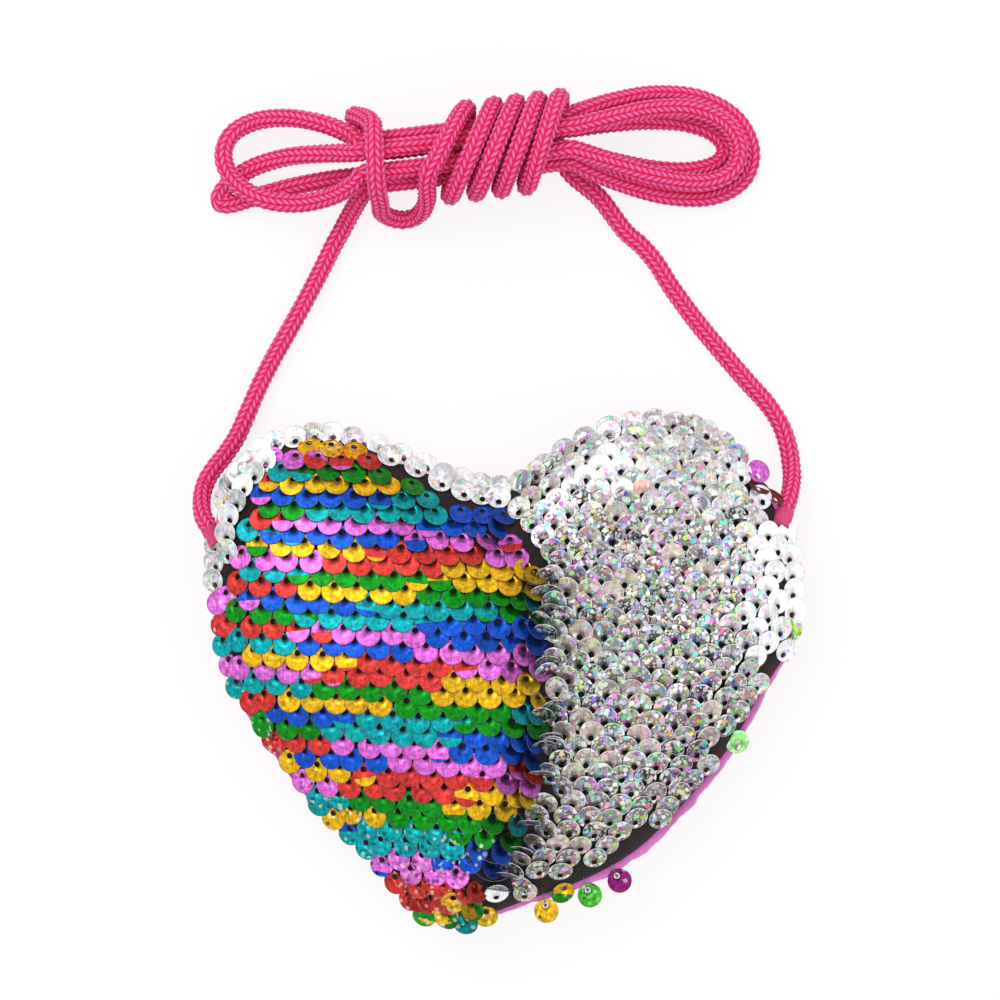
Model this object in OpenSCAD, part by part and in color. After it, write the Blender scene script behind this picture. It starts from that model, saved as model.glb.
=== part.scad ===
// Heart shaped purse, covered with flip sequins on the front, with a zipped pocket in the back and a knitted
// cord strap that is put away in a wound hank. It lies on its back. +Z is the front, +Y the two lobes, -Y the tip.
// The origin is the middle of the heart, on the surface that the back rests on. All sizes are millimetres.

/* [Heart body] */
// Width of the heart across both lobes, without the sequins
heart_w = 123; // [100:1:200]
// Height of the heart from the lobes to the tip, without the sequins
heart_h = 105.5; // [90:0.5:180]
// Height of the side seam above the surface that the back rests on
seam_h = 9; // [8.5:0.25:14]
// How far the padded front swells above the side seam
front_swell = 16; // [14:0.5:26]
// How far the front's edge lies inside the back's edge at the seam
front_step = 0.8; // [0.4:0.1:1.2]
// Share of the back's radius that lies flat
flat_share = 0.85; // [0.8:0.01:0.9]

/* [Layers] */
// Thickness of the outer fabric
fabric_t = 1; // [0.6:0.1:1.2]
// Thickness of the foam
foam_t = 2; // [1:0.1:2.2]
// Thickness of the lining
lining_t = 0.5; // [0.3:0.1:0.7]
// Slack between two layers
layer_gap = 0.1; // [0.05:0.05:0.2]
// Width of the bound seam allowance inside
binding_w = 3; // [2:0.5:5]
// Thickness of the bound seam allowance
binding_t = 1.2; // [0.8:0.1:2]

/* [Zip] */
// Height of the zip's middle line above the heart's middle
zip_y = 13; // [8:0.5:18]
// Length of the window in the back for the zip
window_l = 84; // [80:1:88]
// Width of the window
window_w = 13.5; // [13.5:0.1:15]
// Thickness of the welt that lines the window
welt_t = 1; // [0.6:0.1:1]
// Height of the welt's lower edge above the resting surface
welt_lift = 0.4; // [0.2:0.1:0.8]
// Height of the zip tape above the resting surface
tape_z = 5.2; // [5.2:0.1:6]
// Thickness of the tape
tape_t = 0.6; // [0.4:0.1:0.8]
// Half of the slit between the tapes at the closed end
closed_half = 0.25; // [0.2:0.05:0.3]
// Length over which the tapes part
parting_l = 12; // [10:0.5:12]
// Distance between two teeth of one row
tooth_pitch = 2.5; // [2.4:0.1:3]
// Length of a tooth along the zip
tooth_l = 0.9; // [0.6:0.05:0.9]
// Height of a tooth below the tape
tooth_h = 1; // [0.8:0.05:1]
// How far a tooth stands past the tape's edge
tooth_out = 0.6; // [0.4:0.05:0.6]
// How far a tooth reaches back over the tape
tooth_in = 1.2; // [0.8:0.05:1.2]
// Length of the row of teeth
teeth_row = 68; // [60:1:70]
// Thickness of the end stops below the tape
stop_h = 1.2; // [0.8:0.1:1.3]
// Length of an end stop
stop_l = 1.2; // [0.8:0.1:1.6]
// Width of the tab that covers each end of the slit
end_tab_l = 5; // [4:0.5:5.5]

/* [Zip slider] */
// Place of the slider's middle along the zip at rest, where the zip is open
slider_x = -29; // [-29.5:0.5:-28]
// Length of the slider
slider_l = 10; // [9:0.5:10]
// Thickness of the slider's plates
plate_t = 0.9; // [0.7:0.05:0.9]
// Clearance between the slider and what it runs over
run_gap = 0.3; // [0.2:0.05:0.35]
// Thickness of the slider's side walls
wall_t = 0.75; // [0.5:0.05:0.8]
// Clearance between the slider and the welt
welt_clear = 0.4; // [0.3:0.05:0.5]
// Length of the post that joins the plates
post_l = 1.6; // [1.2:0.1:2]
// Width of the post that joins the plates
post_w = 1.4; // [1:0.1:1.6]
// How far the post stands behind the slider's front edge
post_inset = 0.4; // [0.2:0.1:0.6]
// Diameter of the pin that the pull hangs on
pin_d = 1; // [0.8:0.05:1.2]
// Radial clearance of the pull on its pin
pin_gap = 0.08; // [0.05:0.01:0.09]
// Height of the pin's middle above the resting surface
pin_z = 1.75; // [1.6:0.05:1.8]
// How far the pin lies behind the slider's middle
pin_back = 1; // [0:0.25:2]
// Width of the pull at its eye
eye_w = 3.4; // [3:0.1:3.4]
// Outer diameter of the eye
eye_d = 2.1; // [2:0.05:2.2]
// Side clearance between the eye and the ears
ear_gap = 0.3; // [0.2:0.05:0.4]
// Thickness of an ear
ear_t = 0.8; // [0.6:0.05:1]
// Length of an ear along the slider
ear_l = 2; // [1.8:0.1:2.2]
// Length of the pull from its pin to its end
pull_l = 15; // [10:0.5:15]
// Width of the pull
pull_w = 5; // [4:0.25:6]
// Thickness of the pull
pull_t = 0.9; // [0.7:0.05:1.1]
// Length of the narrow neck next to the eye
neck_l = 2.6; // [2.2:0.1:3]
// Diameter of the hole in the pull
pull_hole_d = 2.4; // [2:0.1:3]

/* [Strap] */
// Diameter of the knitted cord
cord_d = 3.8; // [3.5:0.05:3.8]
// Radial thickness of the thread that binds the cord's ends
whipping_t = 0.25; // [0.15:0.05:0.3]
// How far the cord's bound ends stand out of the side seam
exit_out = 0.7; // [0.5:0.1:1.2]
// How far the middle of a bound end lies below the side seam
exit_drop = 0.6; // [0.2:0.1:1]
// Length of a bound cord end, most of it inside the side seam
whipping_l = 4.2; // [3:0.1:5]
// Radial clearance of the notch in the seam round a bound end
notch_gap = 0.15; // [0.1:0.05:0.3]

/* [Sequins] */
// Diameter of a sequin
sequin_d = 5; // [4:0.05:5]
// Thickness of a sequin
sequin_t = 0.15; // [0.1:0.01:0.16]
// Diameter of the hole that a sequin is sewn through
sequin_hole_d = 1.2; // [1:0.05:1.4]
// Distance of the hole from the sequin's middle
hole_offset = 1.2; // [1:0.05:1.3]
// Distance between two sequins of one row
column_pitch = 5.15; // [5.1:0.05:6]
// Distance between two rows
row_pitch = 2.95; // [2.9:0.05:3.4]
// Fall of the rows towards the right, in degrees
row_fall = 3; // [0:0.5:6]
// Tilt of a sequin over its neighbour, in degrees
sequin_tilt = 8.5; // [8:0.5:10]
// Height of a sequin's hole over the fabric
sequin_lift = 0.42; // [0.35:0.01:0.6]
// Bare strip between the coloured and the silver field
bare_strip = 1; // [0.6:0.1:3]
// Distance of the outermost holes from the front's edge
edge_in = 2.2; // [2:0.1:4]
// The same distance where the lower right edge is bare
bare_edge_in = 6.2; // [4:0.1:8]
// Width of the band of turned sequins along the left lobe
band_w = 6; // [5:0.1:8]

/* [Loose sequins] */
// Gap between the fabric's edge and the knot that a loose sequin hangs on
loose_out = 1.5; // [1.4:0.1:2]
// Height of a loose sequin over the side seam
loose_lift = 0.9; // [0.8:0.1:1.2]
// Diameter of the clear thread that a loose sequin hangs on
thread_d = 0.3; // [0.2:0.05:0.3]
// Diameter of the thread's knot, which sits in the sequin's hole
knot_d = 0.7; // [0.5:0.05:0.8]
// Gap between the thread's other end and the fabric
thread_gap = 0.05; // [0.05:0.01:0.1]

/* [Hidden] */

// Overrun of a cut past the faces that it opens
overrun = 1;
// Sides of the smooth turned pieces
smooth_sides = 32;

// Outline of the heart, clockwise from the cleft, as shares of its width and height
outline_shares = [[0.01, 0.375], [0.07, 0.42], [0.125, 0.46], [0.2, 0.495], [0.295, 0.5], [0.36, 0.475],
    [0.42, 0.41], [0.47, 0.33], [0.498, 0.22], [0.5, 0.115], [0.485, 0.035], [0.445, -0.04], [0.407, -0.12],
    [0.36, -0.198], [0.296, -0.285], [0.228, -0.36], [0.15, -0.413], [0.055, -0.454], [-0.025, -0.487],
    [-0.085, -0.5], [-0.15, -0.47], [-0.205, -0.4], [-0.275, -0.315], [-0.345, -0.24], [-0.4, -0.155],
    [-0.45, -0.065], [-0.485, 0.035], [-0.5, 0.145], [-0.5, 0.25], [-0.485, 0.345], [-0.445, 0.415],
    [-0.385, 0.465], [-0.29, 0.475], [-0.21, 0.45], [-0.125, 0.41], [-0.05, 0.38]];
// Steps of the curve between two outline points
outline_steps = 4;
// Directions in which the shells are cut into facets
shell_sides = 60;
// Rings of facets from the middle of a shell to its edge
front_rings = 7;
back_rings = 4;
// Exponents of the front's swelling, which is flat in the middle and steep at the edge
swell_in = 2.4;
swell_out = 0.6;

function curve_point(a, b, c, d, t) =
    0.5 * (2 * b + (c - a) * t + (2 * a - 5 * b + 4 * c - d) * t * t + (3 * b - a - 3 * c + d) * t * t * t);
outline_count = len(outline_shares);
outline = [for (i = [0 : outline_count - 1]) for (j = [0 : outline_steps - 1])
    let (p = [for (k = [-1 : 2]) outline_shares[(i + k + outline_count) % outline_count]],
         q = curve_point(p[0], p[1], p[2], p[3], j / outline_steps))
    [q[0] * heart_w, q[1] * heart_h]];
rim_half_table = [for (q = outline) [atan2(q[1], q[0]), norm(q)]];
rim_table = [for (turn = [-360, 0, 360]) for (row = rim_half_table) [row[0] + turn, row[1]]];
function rim(angle) = lookup(angle, rim_table);

// Height of the outer face of a layer that lies a given depth under the front or the back
function front_height(share, depth) =
    seam_h + (front_swell - depth) * pow(max(1 - pow(share, swell_in), 0), swell_out);
function back_bend(share) = max((share - flat_share) / (1 - flat_share), 0);
function back_height(share, depth) =
    depth + (seam_h - depth) * (1 - sqrt(max(1 - pow(back_bend(share), 2), 0)));

front_shares = [for (i = [1 : front_rings]) sin(90 * i / front_rings)];
back_shares = concat([flat_share / 2], [for (i = [0 : back_rings])
    flat_share + (1 - flat_share) * sin(90 * i / back_rings)]);
function front_ring(share, depth) = [for (k = [0 : shell_sides - 1])
    let (angle = 360 * k / shell_sides - 180, r = share * (rim(angle) - front_step - depth))
    [r * cos(angle), r * sin(angle), front_height(share, depth)]];
function back_ring(share, depth) = [for (k = [0 : shell_sides - 1])
    let (angle = 180 - 360 * k / shell_sides, r = share * (rim(angle) - depth))
    [r * cos(angle), r * sin(angle), back_height(share, depth)]];

// A closed solid through a list of rings of one size, with a point over each end
module loft(first, rings, last) {
    sides = len(rings[0]);
    count = len(rings);
    points = concat([first], [for (ring = rings) for (p = ring) p], [last]);
    tip = count * sides + 1;
    faces = concat(
        [for (i = [0 : sides - 1]) [0, 1 + (i + 1) % sides, 1 + i]],
        [for (k = [0 : count - 2]) for (i = [0 : sides - 1]) for (half = [0, 1])
            let (a = 1 + k * sides + i, b = 1 + k * sides + (i + 1) % sides)
            half == 0 ? [a, b, b + sides] : [a, b + sides, a + sides]],
        [for (i = [0 : sides - 1]) let (a = tip - sides) [a + i, a + (i + 1) % sides, tip]]);
    polyhedron(points = points, faces = faces, convexity = 8);
}
module front_shell(depth, t) {
    outer = [for (share = front_shares) front_ring(share, depth)];
    inner = [for (i = [front_rings - 1 : -1 : 0]) front_ring(front_shares[i], depth + t)];
    loft([0, 0, front_height(0, depth)], concat(outer, inner), [0, 0, front_height(0, depth + t)]);
}
module back_shell(depth, t) {
    outer = [for (share = back_shares) back_ring(share, depth)];
    inner = [for (i = [len(back_shares) - 1 : -1 : 0]) back_ring(back_shares[i], depth + t)];
    loft([0, 0, depth], concat(outer, inner), [0, 0, depth + t]);
}
foam_depth = fabric_t + layer_gap;
lining_depth = foam_depth + foam_t + layer_gap;
inside_depth = lining_depth + lining_t + layer_gap;

// The cord's ends leave the side seam at these angles from the heart's middle, in these directions
left_exit_angle = 154;
right_exit_angle = 30;
left_aim = [-0.45, 0.75, -0.48];
right_aim = [0.3, 0.78, -0.54];
function seam_exit(angle) = let (r = rim(angle) + exit_out) [r * cos(angle), r * sin(angle), seam_h - exit_drop];
left_exit = seam_exit(left_exit_angle);
right_exit = seam_exit(right_exit_angle);
function unit(v) = v / norm(v);
module along(at, aim) {
    d = unit(aim);
    translate(at) rotate([0, acos(d[2]), atan2(d[1], d[0])]) children();
}
module bound_end(at, aim, extra) {
    along(at, -aim) translate([0, 0, -extra])
        cylinder(r = cord_d / 2 + whipping_t + extra, h = whipping_l + 2 * extra, $fn = smooth_sides);
}
module notches() {
    bound_end(left_exit, left_aim, notch_gap);
    bound_end(right_exit, right_aim, notch_gap);
}
window_gap = layer_gap;
module window_cut() {
    translate([-window_l / 2, zip_y - window_w / 2, -overrun])
        cube([window_l, window_w, tape_z + overrun]);
}

module front_panel() color([0.14, 0.11, 0.11]) difference() {
    front_shell(0, fabric_t);
    notches();
}
module front_foam() color([0.93, 0.9, 0.8]) difference() {
    front_shell(foam_depth, foam_t);
    notches();
}
module front_lining() color([0.95, 0.55, 0.75]) front_shell(lining_depth, lining_t);
module back_panel() color([0.93, 0.24, 0.5]) difference() {
    back_shell(0, fabric_t);
    notches();
    window_cut();
}
module back_foam() color([0.93, 0.9, 0.8]) difference() {
    back_shell(foam_depth, foam_t);
    notches();
    window_cut();
}
module back_lining() color([0.95, 0.55, 0.75]) difference() {
    back_shell(lining_depth, lining_t);
    window_cut();
}
function inset_outline(depth) = [for (k = [0 : shell_sides - 1])
    let (angle = 360 * k / shell_sides, r = rim(angle) - depth) [r * cos(angle), r * sin(angle)]];
// The binding keeps clear of the lining, which leans in over it
binding_depth = front_step + inside_depth + binding_t / 2;
module seam_binding() color([0.85, 0.2, 0.45])
    translate([0, 0, seam_h - binding_t / 2]) linear_extrude(binding_t) difference() {
        polygon(inset_outline(binding_depth));
        polygon(inset_outline(binding_depth + binding_w));
    }

// The welt is a narrow frame that lines the window and carries the zip tapes
welt_l = window_l - 2 * window_gap;
welt_w = window_w - 2 * window_gap;
module zip_welt() color([0.9, 0.3, 0.55])
    translate([0, zip_y, welt_lift]) linear_extrude(tape_z - welt_lift) difference() {
        square([welt_l, welt_w], center = true);
        square([welt_l - 2 * welt_t, welt_w - 2 * welt_t], center = true);
    }
// Half of the mouth between the tapes where the zip is open, which leaves room for the slider in the welt
mouth_half = welt_w / 2 - welt_t - welt_clear - wall_t - run_gap - tooth_in;
// Half of the gap between the tapes at a place along the zip
slit_l = teeth_row + 2 * (stop_l + stop_l);
function ease(t) = t * t * (3 - 2 * t);
function slit_half(x) = closed_half + (mouth_half - closed_half)
    * ease(min(max((x + slit_l / 2) / parting_l, 0), 1));
tape_steps = 12;
module zip_tape() {
    edge = concat([[-welt_l / 2, slit_half(-slit_l / 2)]],
        [for (i = [0 : tape_steps]) let (x = -slit_l / 2 + parting_l * i / tape_steps) [x, slit_half(x)]],
        [[welt_l / 2, mouth_half]]);
    translate([0, zip_y, tape_z]) linear_extrude(tape_t)
        polygon(concat(edge, [[welt_l / 2, welt_w / 2], [-welt_l / 2, welt_w / 2]]));
}
module across_zip() translate([0, zip_y, 0]) mirror([0, 1, 0]) translate([0, -zip_y, 0]) children();
module zip_tape_upper() color([0.9, 0.25, 0.5]) zip_tape();
module zip_tape_lower() color([0.9, 0.25, 0.5]) across_zip() zip_tape();
tooth_count = floor(teeth_row / tooth_pitch);
module zip_teeth(shift) {
    for (i = [0 : tooth_count - 1]) {
        x = -teeth_row / 2 + tooth_pitch * (i + shift);
        translate([x, zip_y + slit_half(x) - tooth_out, tape_z - tooth_h])
            cube([tooth_l, tooth_out + tooth_in, tooth_h]);
    }
}
// The two rows are staggered, so that the teeth of one row fit between those of the other
upper_shift_share = 0.2;
lower_shift_share = 0.7;
module zip_teeth_upper() color([0.95, 0.5, 0.7]) zip_teeth(upper_shift_share);
module zip_teeth_lower() color([0.95, 0.5, 0.7]) across_zip() zip_teeth(lower_shift_share);
module zip_bottom_stop() color([0.75, 0.75, 0.78])
    translate([-teeth_row / 2 - 2 * stop_l, zip_y - tooth_in - closed_half, tape_z - stop_h])
        cube([stop_l, 2 * (tooth_in + closed_half), stop_h]);
module zip_top_stop()
    translate([teeth_row / 2 + stop_l, zip_y + mouth_half - tooth_out, tape_z - stop_h])
        cube([stop_l, tooth_out + tooth_in, stop_h]);
module zip_top_stops() color([0.75, 0.75, 0.78]) {
    zip_top_stop();
    across_zip() zip_top_stop();
}
module zip_end_tabs() color([0.85, 0.2, 0.45])
    for (side = [-1, 1])
        translate([side * (welt_l - end_tab_l) / 2, zip_y, tape_z + tape_t + tape_t / 2])
            cube([end_tab_l, welt_w, tape_t], center = true);

// The slider straddles both rows of teeth. Its plates are joined by a post in the mouth
slider_half = mouth_half + tooth_in + run_gap;
lower_plate_z = tape_z - tooth_h - run_gap - plate_t;
upper_plate_z = tape_z + tape_t + run_gap;
pin_x = slider_x - pin_back;
ear_foot = pin_z - eye_d / 2;
ears_half = eye_w / 2 + ear_gap + ear_t;
module zip_slider() color([0.82, 0.82, 0.85]) {
    translate([slider_x - slider_l / 2, zip_y - slider_half - wall_t, lower_plate_z])
        cube([slider_l, 2 * (slider_half + wall_t), plate_t]);
    translate([slider_x - slider_l / 2, zip_y - slider_half - wall_t, upper_plate_z])
        cube([slider_l, 2 * (slider_half + wall_t), plate_t]);
    for (side = [0, 1])
        translate([slider_x - slider_l / 2, zip_y - slider_half - wall_t + side * (2 * slider_half + wall_t),
                   lower_plate_z])
            cube([slider_l, wall_t, tape_z - run_gap - lower_plate_z]);
    translate([slider_x + slider_l / 2 - post_inset - post_l, zip_y - post_w / 2, lower_plate_z])
        cube([post_l, post_w, upper_plate_z + plate_t - lower_plate_z]);
    for (side = [0, 1])
        translate([pin_x - ear_l / 2, zip_y - ears_half + side * (2 * ears_half - ear_t), ear_foot])
            cube([ear_l, ear_t, lower_plate_z - ear_foot]);
    translate([pin_x, zip_y, pin_z]) rotate([90, 0, 0])
        cylinder(d = pin_d, h = 2 * ears_half, center = true, $fn = smooth_sides);
}
module zip_pull() color([0.8, 0.8, 0.84]) difference() {
    union() {
        translate([pin_x, zip_y, pin_z]) rotate([90, 0, 0])
            cylinder(d = eye_d, h = eye_w, center = true, $fn = smooth_sides);
        translate([pin_x, zip_y - eye_w / 2, pin_z - pull_t / 2]) cube([neck_l, eye_w, pull_t]);
        translate([pin_x + neck_l, zip_y - pull_w / 2, pin_z - pull_t / 2])
            cube([pull_l - neck_l - pull_w / 2, pull_w, pull_t]);
        translate([pin_x + pull_l - pull_w / 2, zip_y, pin_z - pull_t / 2])
            cylinder(d = pull_w, h = pull_t, $fn = smooth_sides);
    }
    translate([pin_x, zip_y, pin_z]) rotate([90, 0, 0])
        cylinder(d = pin_d + 2 * pin_gap, h = eye_w + 2 * overrun, center = true, $fn = smooth_sides);
    translate([pin_x + pull_l - pull_w / 2, zip_y, pin_z - pull_t / 2 - overrun])
        cylinder(d = pull_hole_d, h = pull_t + 2 * overrun, $fn = smooth_sides);
}

module strap_end_left() color([0.8, 0.15, 0.35]) bound_end(left_exit, left_aim, 0);
module strap_end_right() color([0.8, 0.15, 0.35]) bound_end(right_exit, right_aim, 0);

// The cord is one tube from one side seam to the other: a free stretch, the hank, and a free stretch.
// The hank lies in its own frame: x along its core, y across it, z up. Its core is six strands in a ring.
floor_z = cord_d / 2;
// The free stretches, as points chosen by hand, each from its seam to the hank
left_route = [[-64, 36.6, 3.7], [-63.3, 39.9, floor_z], [-61.6, 42.9, floor_z],
    [-59.2, 45.9, floor_z], [-56.6, 49.9, floor_z], [-54.1, 55.5, floor_z], [-51.4, 61.6, floor_z],
    [-48.4, 67.4, floor_z], [-45, 73.4, floor_z], [-41.6, 79.6, floor_z], [-38.6, 85.4, floor_z]];
right_route = [[25.4, 93.4, floor_z], [29, 90.2, floor_z], [32.2, 86.4, floor_z], [35.2, 81.6, floor_z],
    [40.6, 74.2, floor_z], [46.4, 67.2, floor_z], [51.6, 61.2, floor_z], [55.4, 57, floor_z],
    [58.2, 52.8, floor_z], [59.8, 48.6, floor_z], [60.6, 44.4, floor_z], [60.8, 40.8, 3.5]];
// Place and turn of the hank's frame, and the length of its straight core
hank_at = [-30, 107];
hank_turn = 7;
core_l = 43.6;
// Distance of the core's strands from its axis, and of the wraps round it
core_r = 4.65;
wrap_r = 8.95;
axis_z = wrap_r + floor_z;
// How far a wrap runs along the core for each unit across it: at the open bight, at the first wrap, and how much
// less it gets with each turn. Then the distance between two wraps
bight_lean = 0.3;
wrap_lean = 0.55;
wrap_lean_fall = 0.04;
wrap_pitch = 5;
wrap_step = 30;
wrap_start = 14.7;
wrap_slack = 2.6;
function in_core(x, angle) = [x, core_r * cos(angle), axis_z + core_r * sin(angle)];
function on_wrap(x, angle, lean) =
    let (across = wrap_r * cos(angle)) [x + lean * across, across, axis_z + wrap_r * sin(angle)];
core_stops = [0, 3, 8, core_l / 2, core_l - 8, core_l - 3, core_l];
function to_right(angle, from) = concat([in_core(from, angle), in_core(from + 3, angle)],
    [for (i = [2 : 6]) in_core(i == 2 ? from + 8 : core_stops[i], angle)]);
function to_left(angle, end) = let (p = to_right(angle, end)) [for (i = [6 : -1 : 0]) p[i]];
// A loop of the hank: it leaves the core at one strand and comes back at another. Its shares run from 0 at the
// core to 1 at its far end, and its points come from a drop shaped formula. side is 1 right and -1 left, full
// says how round it is, slope and hook shift it across, hold says how fast it comes down to its far height
loop_steps = 12;
function loop(from, side, angle_out, angle_back, reach, half, full, slope, hook, far_z, hold,
              hump_at = 0, hump_w = 1, hump_h = 0) =
    let (widest = acos(-full / (1 + full)),
         scale = 1 / (sin(widest) * pow((1 - cos(widest)) / 2, full)))
    [for (i = [1 : loop_steps - 1])
        let (u = i / loop_steps,
             share = (1 - cos(360 * u)) / 2,
             strand = in_core(0, u < 0.5 ? angle_out : angle_back),
             across = scale * half * sin(360 * u) * pow(share, full),
             fade = pow(1 - share, 2),
             hump = hump_h * exp(-pow((u - hump_at) / hump_w, 4)))
        [from + side * reach * share,
         across + slope * reach * share + hook * pow(share, 3) + strand[1] * fade,
         far_z + (strand[2] - far_z) * pow(1 - share, hold) + hump]];
wrap_first = 120;
wrap_end = -1530;
wrap_points = [for (angle = [wrap_first : -wrap_step : wrap_end]) let (turns = (180 - angle) / 360)
    on_wrap(wrap_start + wrap_slack * min(turns, 1) + wrap_pitch * turns, angle,
        wrap_lean - wrap_lean_fall * turns)];
wrap_last = wrap_points[len(wrap_points) - 1];
hank_points = concat(
    [[-8.2, -15.9, floor_z], [-6.5, -13.6, floor_z], [-4.8, -11.2, 2.5], [-2.9, -8.8, 4.9], [-0.8, -6.4, 8.5],
     [1.8, -4.8, axis_z - 0.2]],
    to_right(180, 5),
    loop(core_l, 1, 180, 0, 38.4, -10.4, 0.5, -0.17, 0, floor_z, 2.2),
    to_left(0, 0),
    loop(0, -1, 0, 120, 28.8, 8.6, 0.3, 0.17, 0, floor_z, 1.6, 0.57, 0.2, 5.3),
    to_right(120, 0),
    loop(core_l, 1, 120, 60, 35.7, -7.7, 0.75, -0.17, 0, floor_z + 3.7, 1.1),
    to_left(60, 0),
    loop(0, -1, 60, 240, 31, 2.9, 0.7, 0.08, -6, floor_z, 1.2),
    to_right(240, 0),
    loop(core_l, 1, 240, 300, 33, -5.1, 0.6, -0.17, 0, floor_z, 2),
    to_left(300, 7),
    [[3.6, 3, 5.6], [0.8, 5.6, 3.2], [-0.4, 9.2, 3.6], [-0.2, 10.6, 7.4]],
    [for (p = [[0.6, 20], [1.8, 55], [3, 90], [4.2, 125], [5.4, 160]]) on_wrap(p[0], p[1], bight_lean)],
    [[2.9, -10.4, 9.6], [4.7, -11.8, 6.8], [7.6, -12.5, 5.8], [10.6, -11.8, 7], [12.5, -9.6, 11.4]],
    wrap_points,
    [for (p = [[0.9, -3.8], [2.8, -7.2], [5.4, -10], [8.2, -13.2]]) [wrap_last[0] + p[0], p[1], floor_z]]);
function to_part(p) = [hank_at[0] + cos(hank_turn) * p[0] - sin(hank_turn) * p[1],
    hank_at[1] + sin(hank_turn) * p[0] + cos(hank_turn) * p[1], p[2]];
hank_world = [for (p = hank_points) to_part(p)];
function straight_on(at, aim, n) = at + unit(aim) * cord_d * n;
left_points = concat([left_exit, straight_on(left_exit, left_aim, 1)], left_route);
right_points = concat(right_route, [straight_on(right_exit, right_aim, 1), right_exit]);
control = concat(left_points, hank_world, right_points);
left_count = len(left_points);
hank_count = len(hank_world);
// Rings for each step of the hank. A free stretch has one ring at each point
hank_steps = 2;
function on_floor(p) = [p[0], p[1], max(p[2], floor_z)];
cord_path = concat(left_points,
    [for (i = [left_count : left_count + hank_count - 2]) for (j = [0 : hank_steps - 1])
        on_floor(curve_point(control[i - 1], control[i], control[i + 1], control[i + 2], j / hank_steps))],
    [hank_world[hank_count - 1]], right_points);
hank_last = left_count + (hank_count - 1) * hank_steps;
path_last = len(cord_path) - 1;
cord_aims = [for (i = [0 : path_last])
    unit(cord_path[min(i + 1, path_last)] - cord_path[max(i - 1, 0)])];
function square_to(v, aim) = unit(v - (v * aim) * aim);
cord_sides = [for (i = 0, side = square_to([0, 0, 1], cord_aims[0]); i <= path_last;
    i = i + 1, side = i <= path_last ? square_to(side, cord_aims[i]) : side) side];
function cord_ring(i, sides) = let (u = cord_sides[i], v = cross(cord_aims[i], u)) [for (k = [0 : sides - 1])
    let (angle = -360 * (k + 0.5) / sides) cord_path[i] + cord_d / 2 * (cos(angle) * u + sin(angle) * v)];
module cord(from, to, sides)
    loft(cord_path[from], [for (i = [from : to]) cord_ring(i, sides)], cord_path[to]);
free_sides = 8;
hank_sides = 6;
module strap_left() color([0.93, 0.24, 0.48]) cord(0, left_count, free_sides);
module strap_hank() color([0.93, 0.24, 0.48]) cord(left_count, hank_last, hank_sides);
module strap_right() color([0.93, 0.24, 0.48]) cord(hank_last, path_last, free_sides);

// Least gap of the cord to itself, measured between rings that lie further apart along it than near_l
near_l = 2.6 * cord_d;
cord_marks = [for (i = 0, run = 0; i <= path_last;
    i = i + 1, run = i <= path_last ? run + norm(cord_path[i] - cord_path[i - 1]) : run) run];
least_gap = min([for (i = [0 : path_last]) for (j = [i + 1 : path_last])
    if (cord_marks[j] - cord_marks[i] > near_l) norm(cord_path[j] - cord_path[i])]) - cord_d;
echo(left_exit = left_exit, right_exit = right_exit);
echo(cord_length = cord_marks[path_last], least_gap_of_the_cord_to_itself = least_gap);

// Sequins: rows that fall to the right, every second row shifted by half a column
function front_at(x, y) = front_height(min(norm([x, y]) / (rim(atan2(y, x)) - front_step), 1), 0);
probe = sequin_d / 10;
function normal(x, y) = unit([(front_at(x - probe, y) - front_at(x + probe, y)) / (2 * probe),
    (front_at(x, y - probe) - front_at(x, y + probe)) / (2 * probe), 1]);
function to_edge(x, y) = rim(atan2(y, x)) - front_step - norm([x, y]);
// Border between the coloured left field and the silver right field, as shares of the width over the height
border_shares = [[-0.5, -0.02], [-0.41, -0.008], [-0.25, 0.06], [-0.055, 0.068], [0.22, 0.05], [0.36, 0.005],
    [0.5, 0.005]];
function border(y) = heart_w * lookup(y / heart_h, border_shares);
// The lower right edge is bare down to this angle
bare_to = -95;
// No sequin is sewn over the cord's bound ends
bound_feet = [for (e = [[left_exit, left_aim], [right_exit, right_aim]])
    let (foot = e[0] - whipping_l * unit(e[1])) [foot[0], foot[1]]];
foot_clear = cord_d / 2 + whipping_t + sequin_d / 2;
row_reach = ceil(heart_w / row_pitch / 2);
column_reach = ceil(heart_w / column_pitch / 2);
sequin_places = [for (row = [-row_reach : row_reach]) for (column = [-column_reach : column_reach])
    let (x = column_pitch * (column + (row % 2 == 0 ? 0 : 0.5)),
         y = -row_pitch * row,
         p = [x * cos(row_fall) + y * sin(row_fall), y * cos(row_fall) - x * sin(row_fall)],
         angle = atan2(p[1], p[0]),
         edge = to_edge(p[0], p[1]),
         bare = angle < 0 && angle > bare_to)
    if (edge > (bare ? bare_edge_in : edge_in) && min([for (q = bound_feet) norm(p - q)]) > foot_clear)
        [p[0], p[1], row, edge, angle]];
half_strip = (sequin_d + bare_strip) / 2;
// The band of turned sequins follows the left lobe's edge, between these two angles
band_from = 92;
band_to = 166;
function in_band(s) = s[4] > band_from && s[4] < band_to && s[0] < border(s[1]) - half_strip;
function left_of_border(s) = s[0] < border(s[1]) - half_strip;
function right_of_border(s) = s[0] > border(s[1]) + half_strip;
band_sequins = [for (s = sequin_places) if (in_band(s) && s[3] < band_w) s];
coloured_sequins = [for (s = sequin_places)
    if (left_of_border(s) && !(in_band(s) && s[3] < band_w + sequin_d)) s];
silver_sequins = [for (s = sequin_places) if (right_of_border(s)) s];

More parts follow.
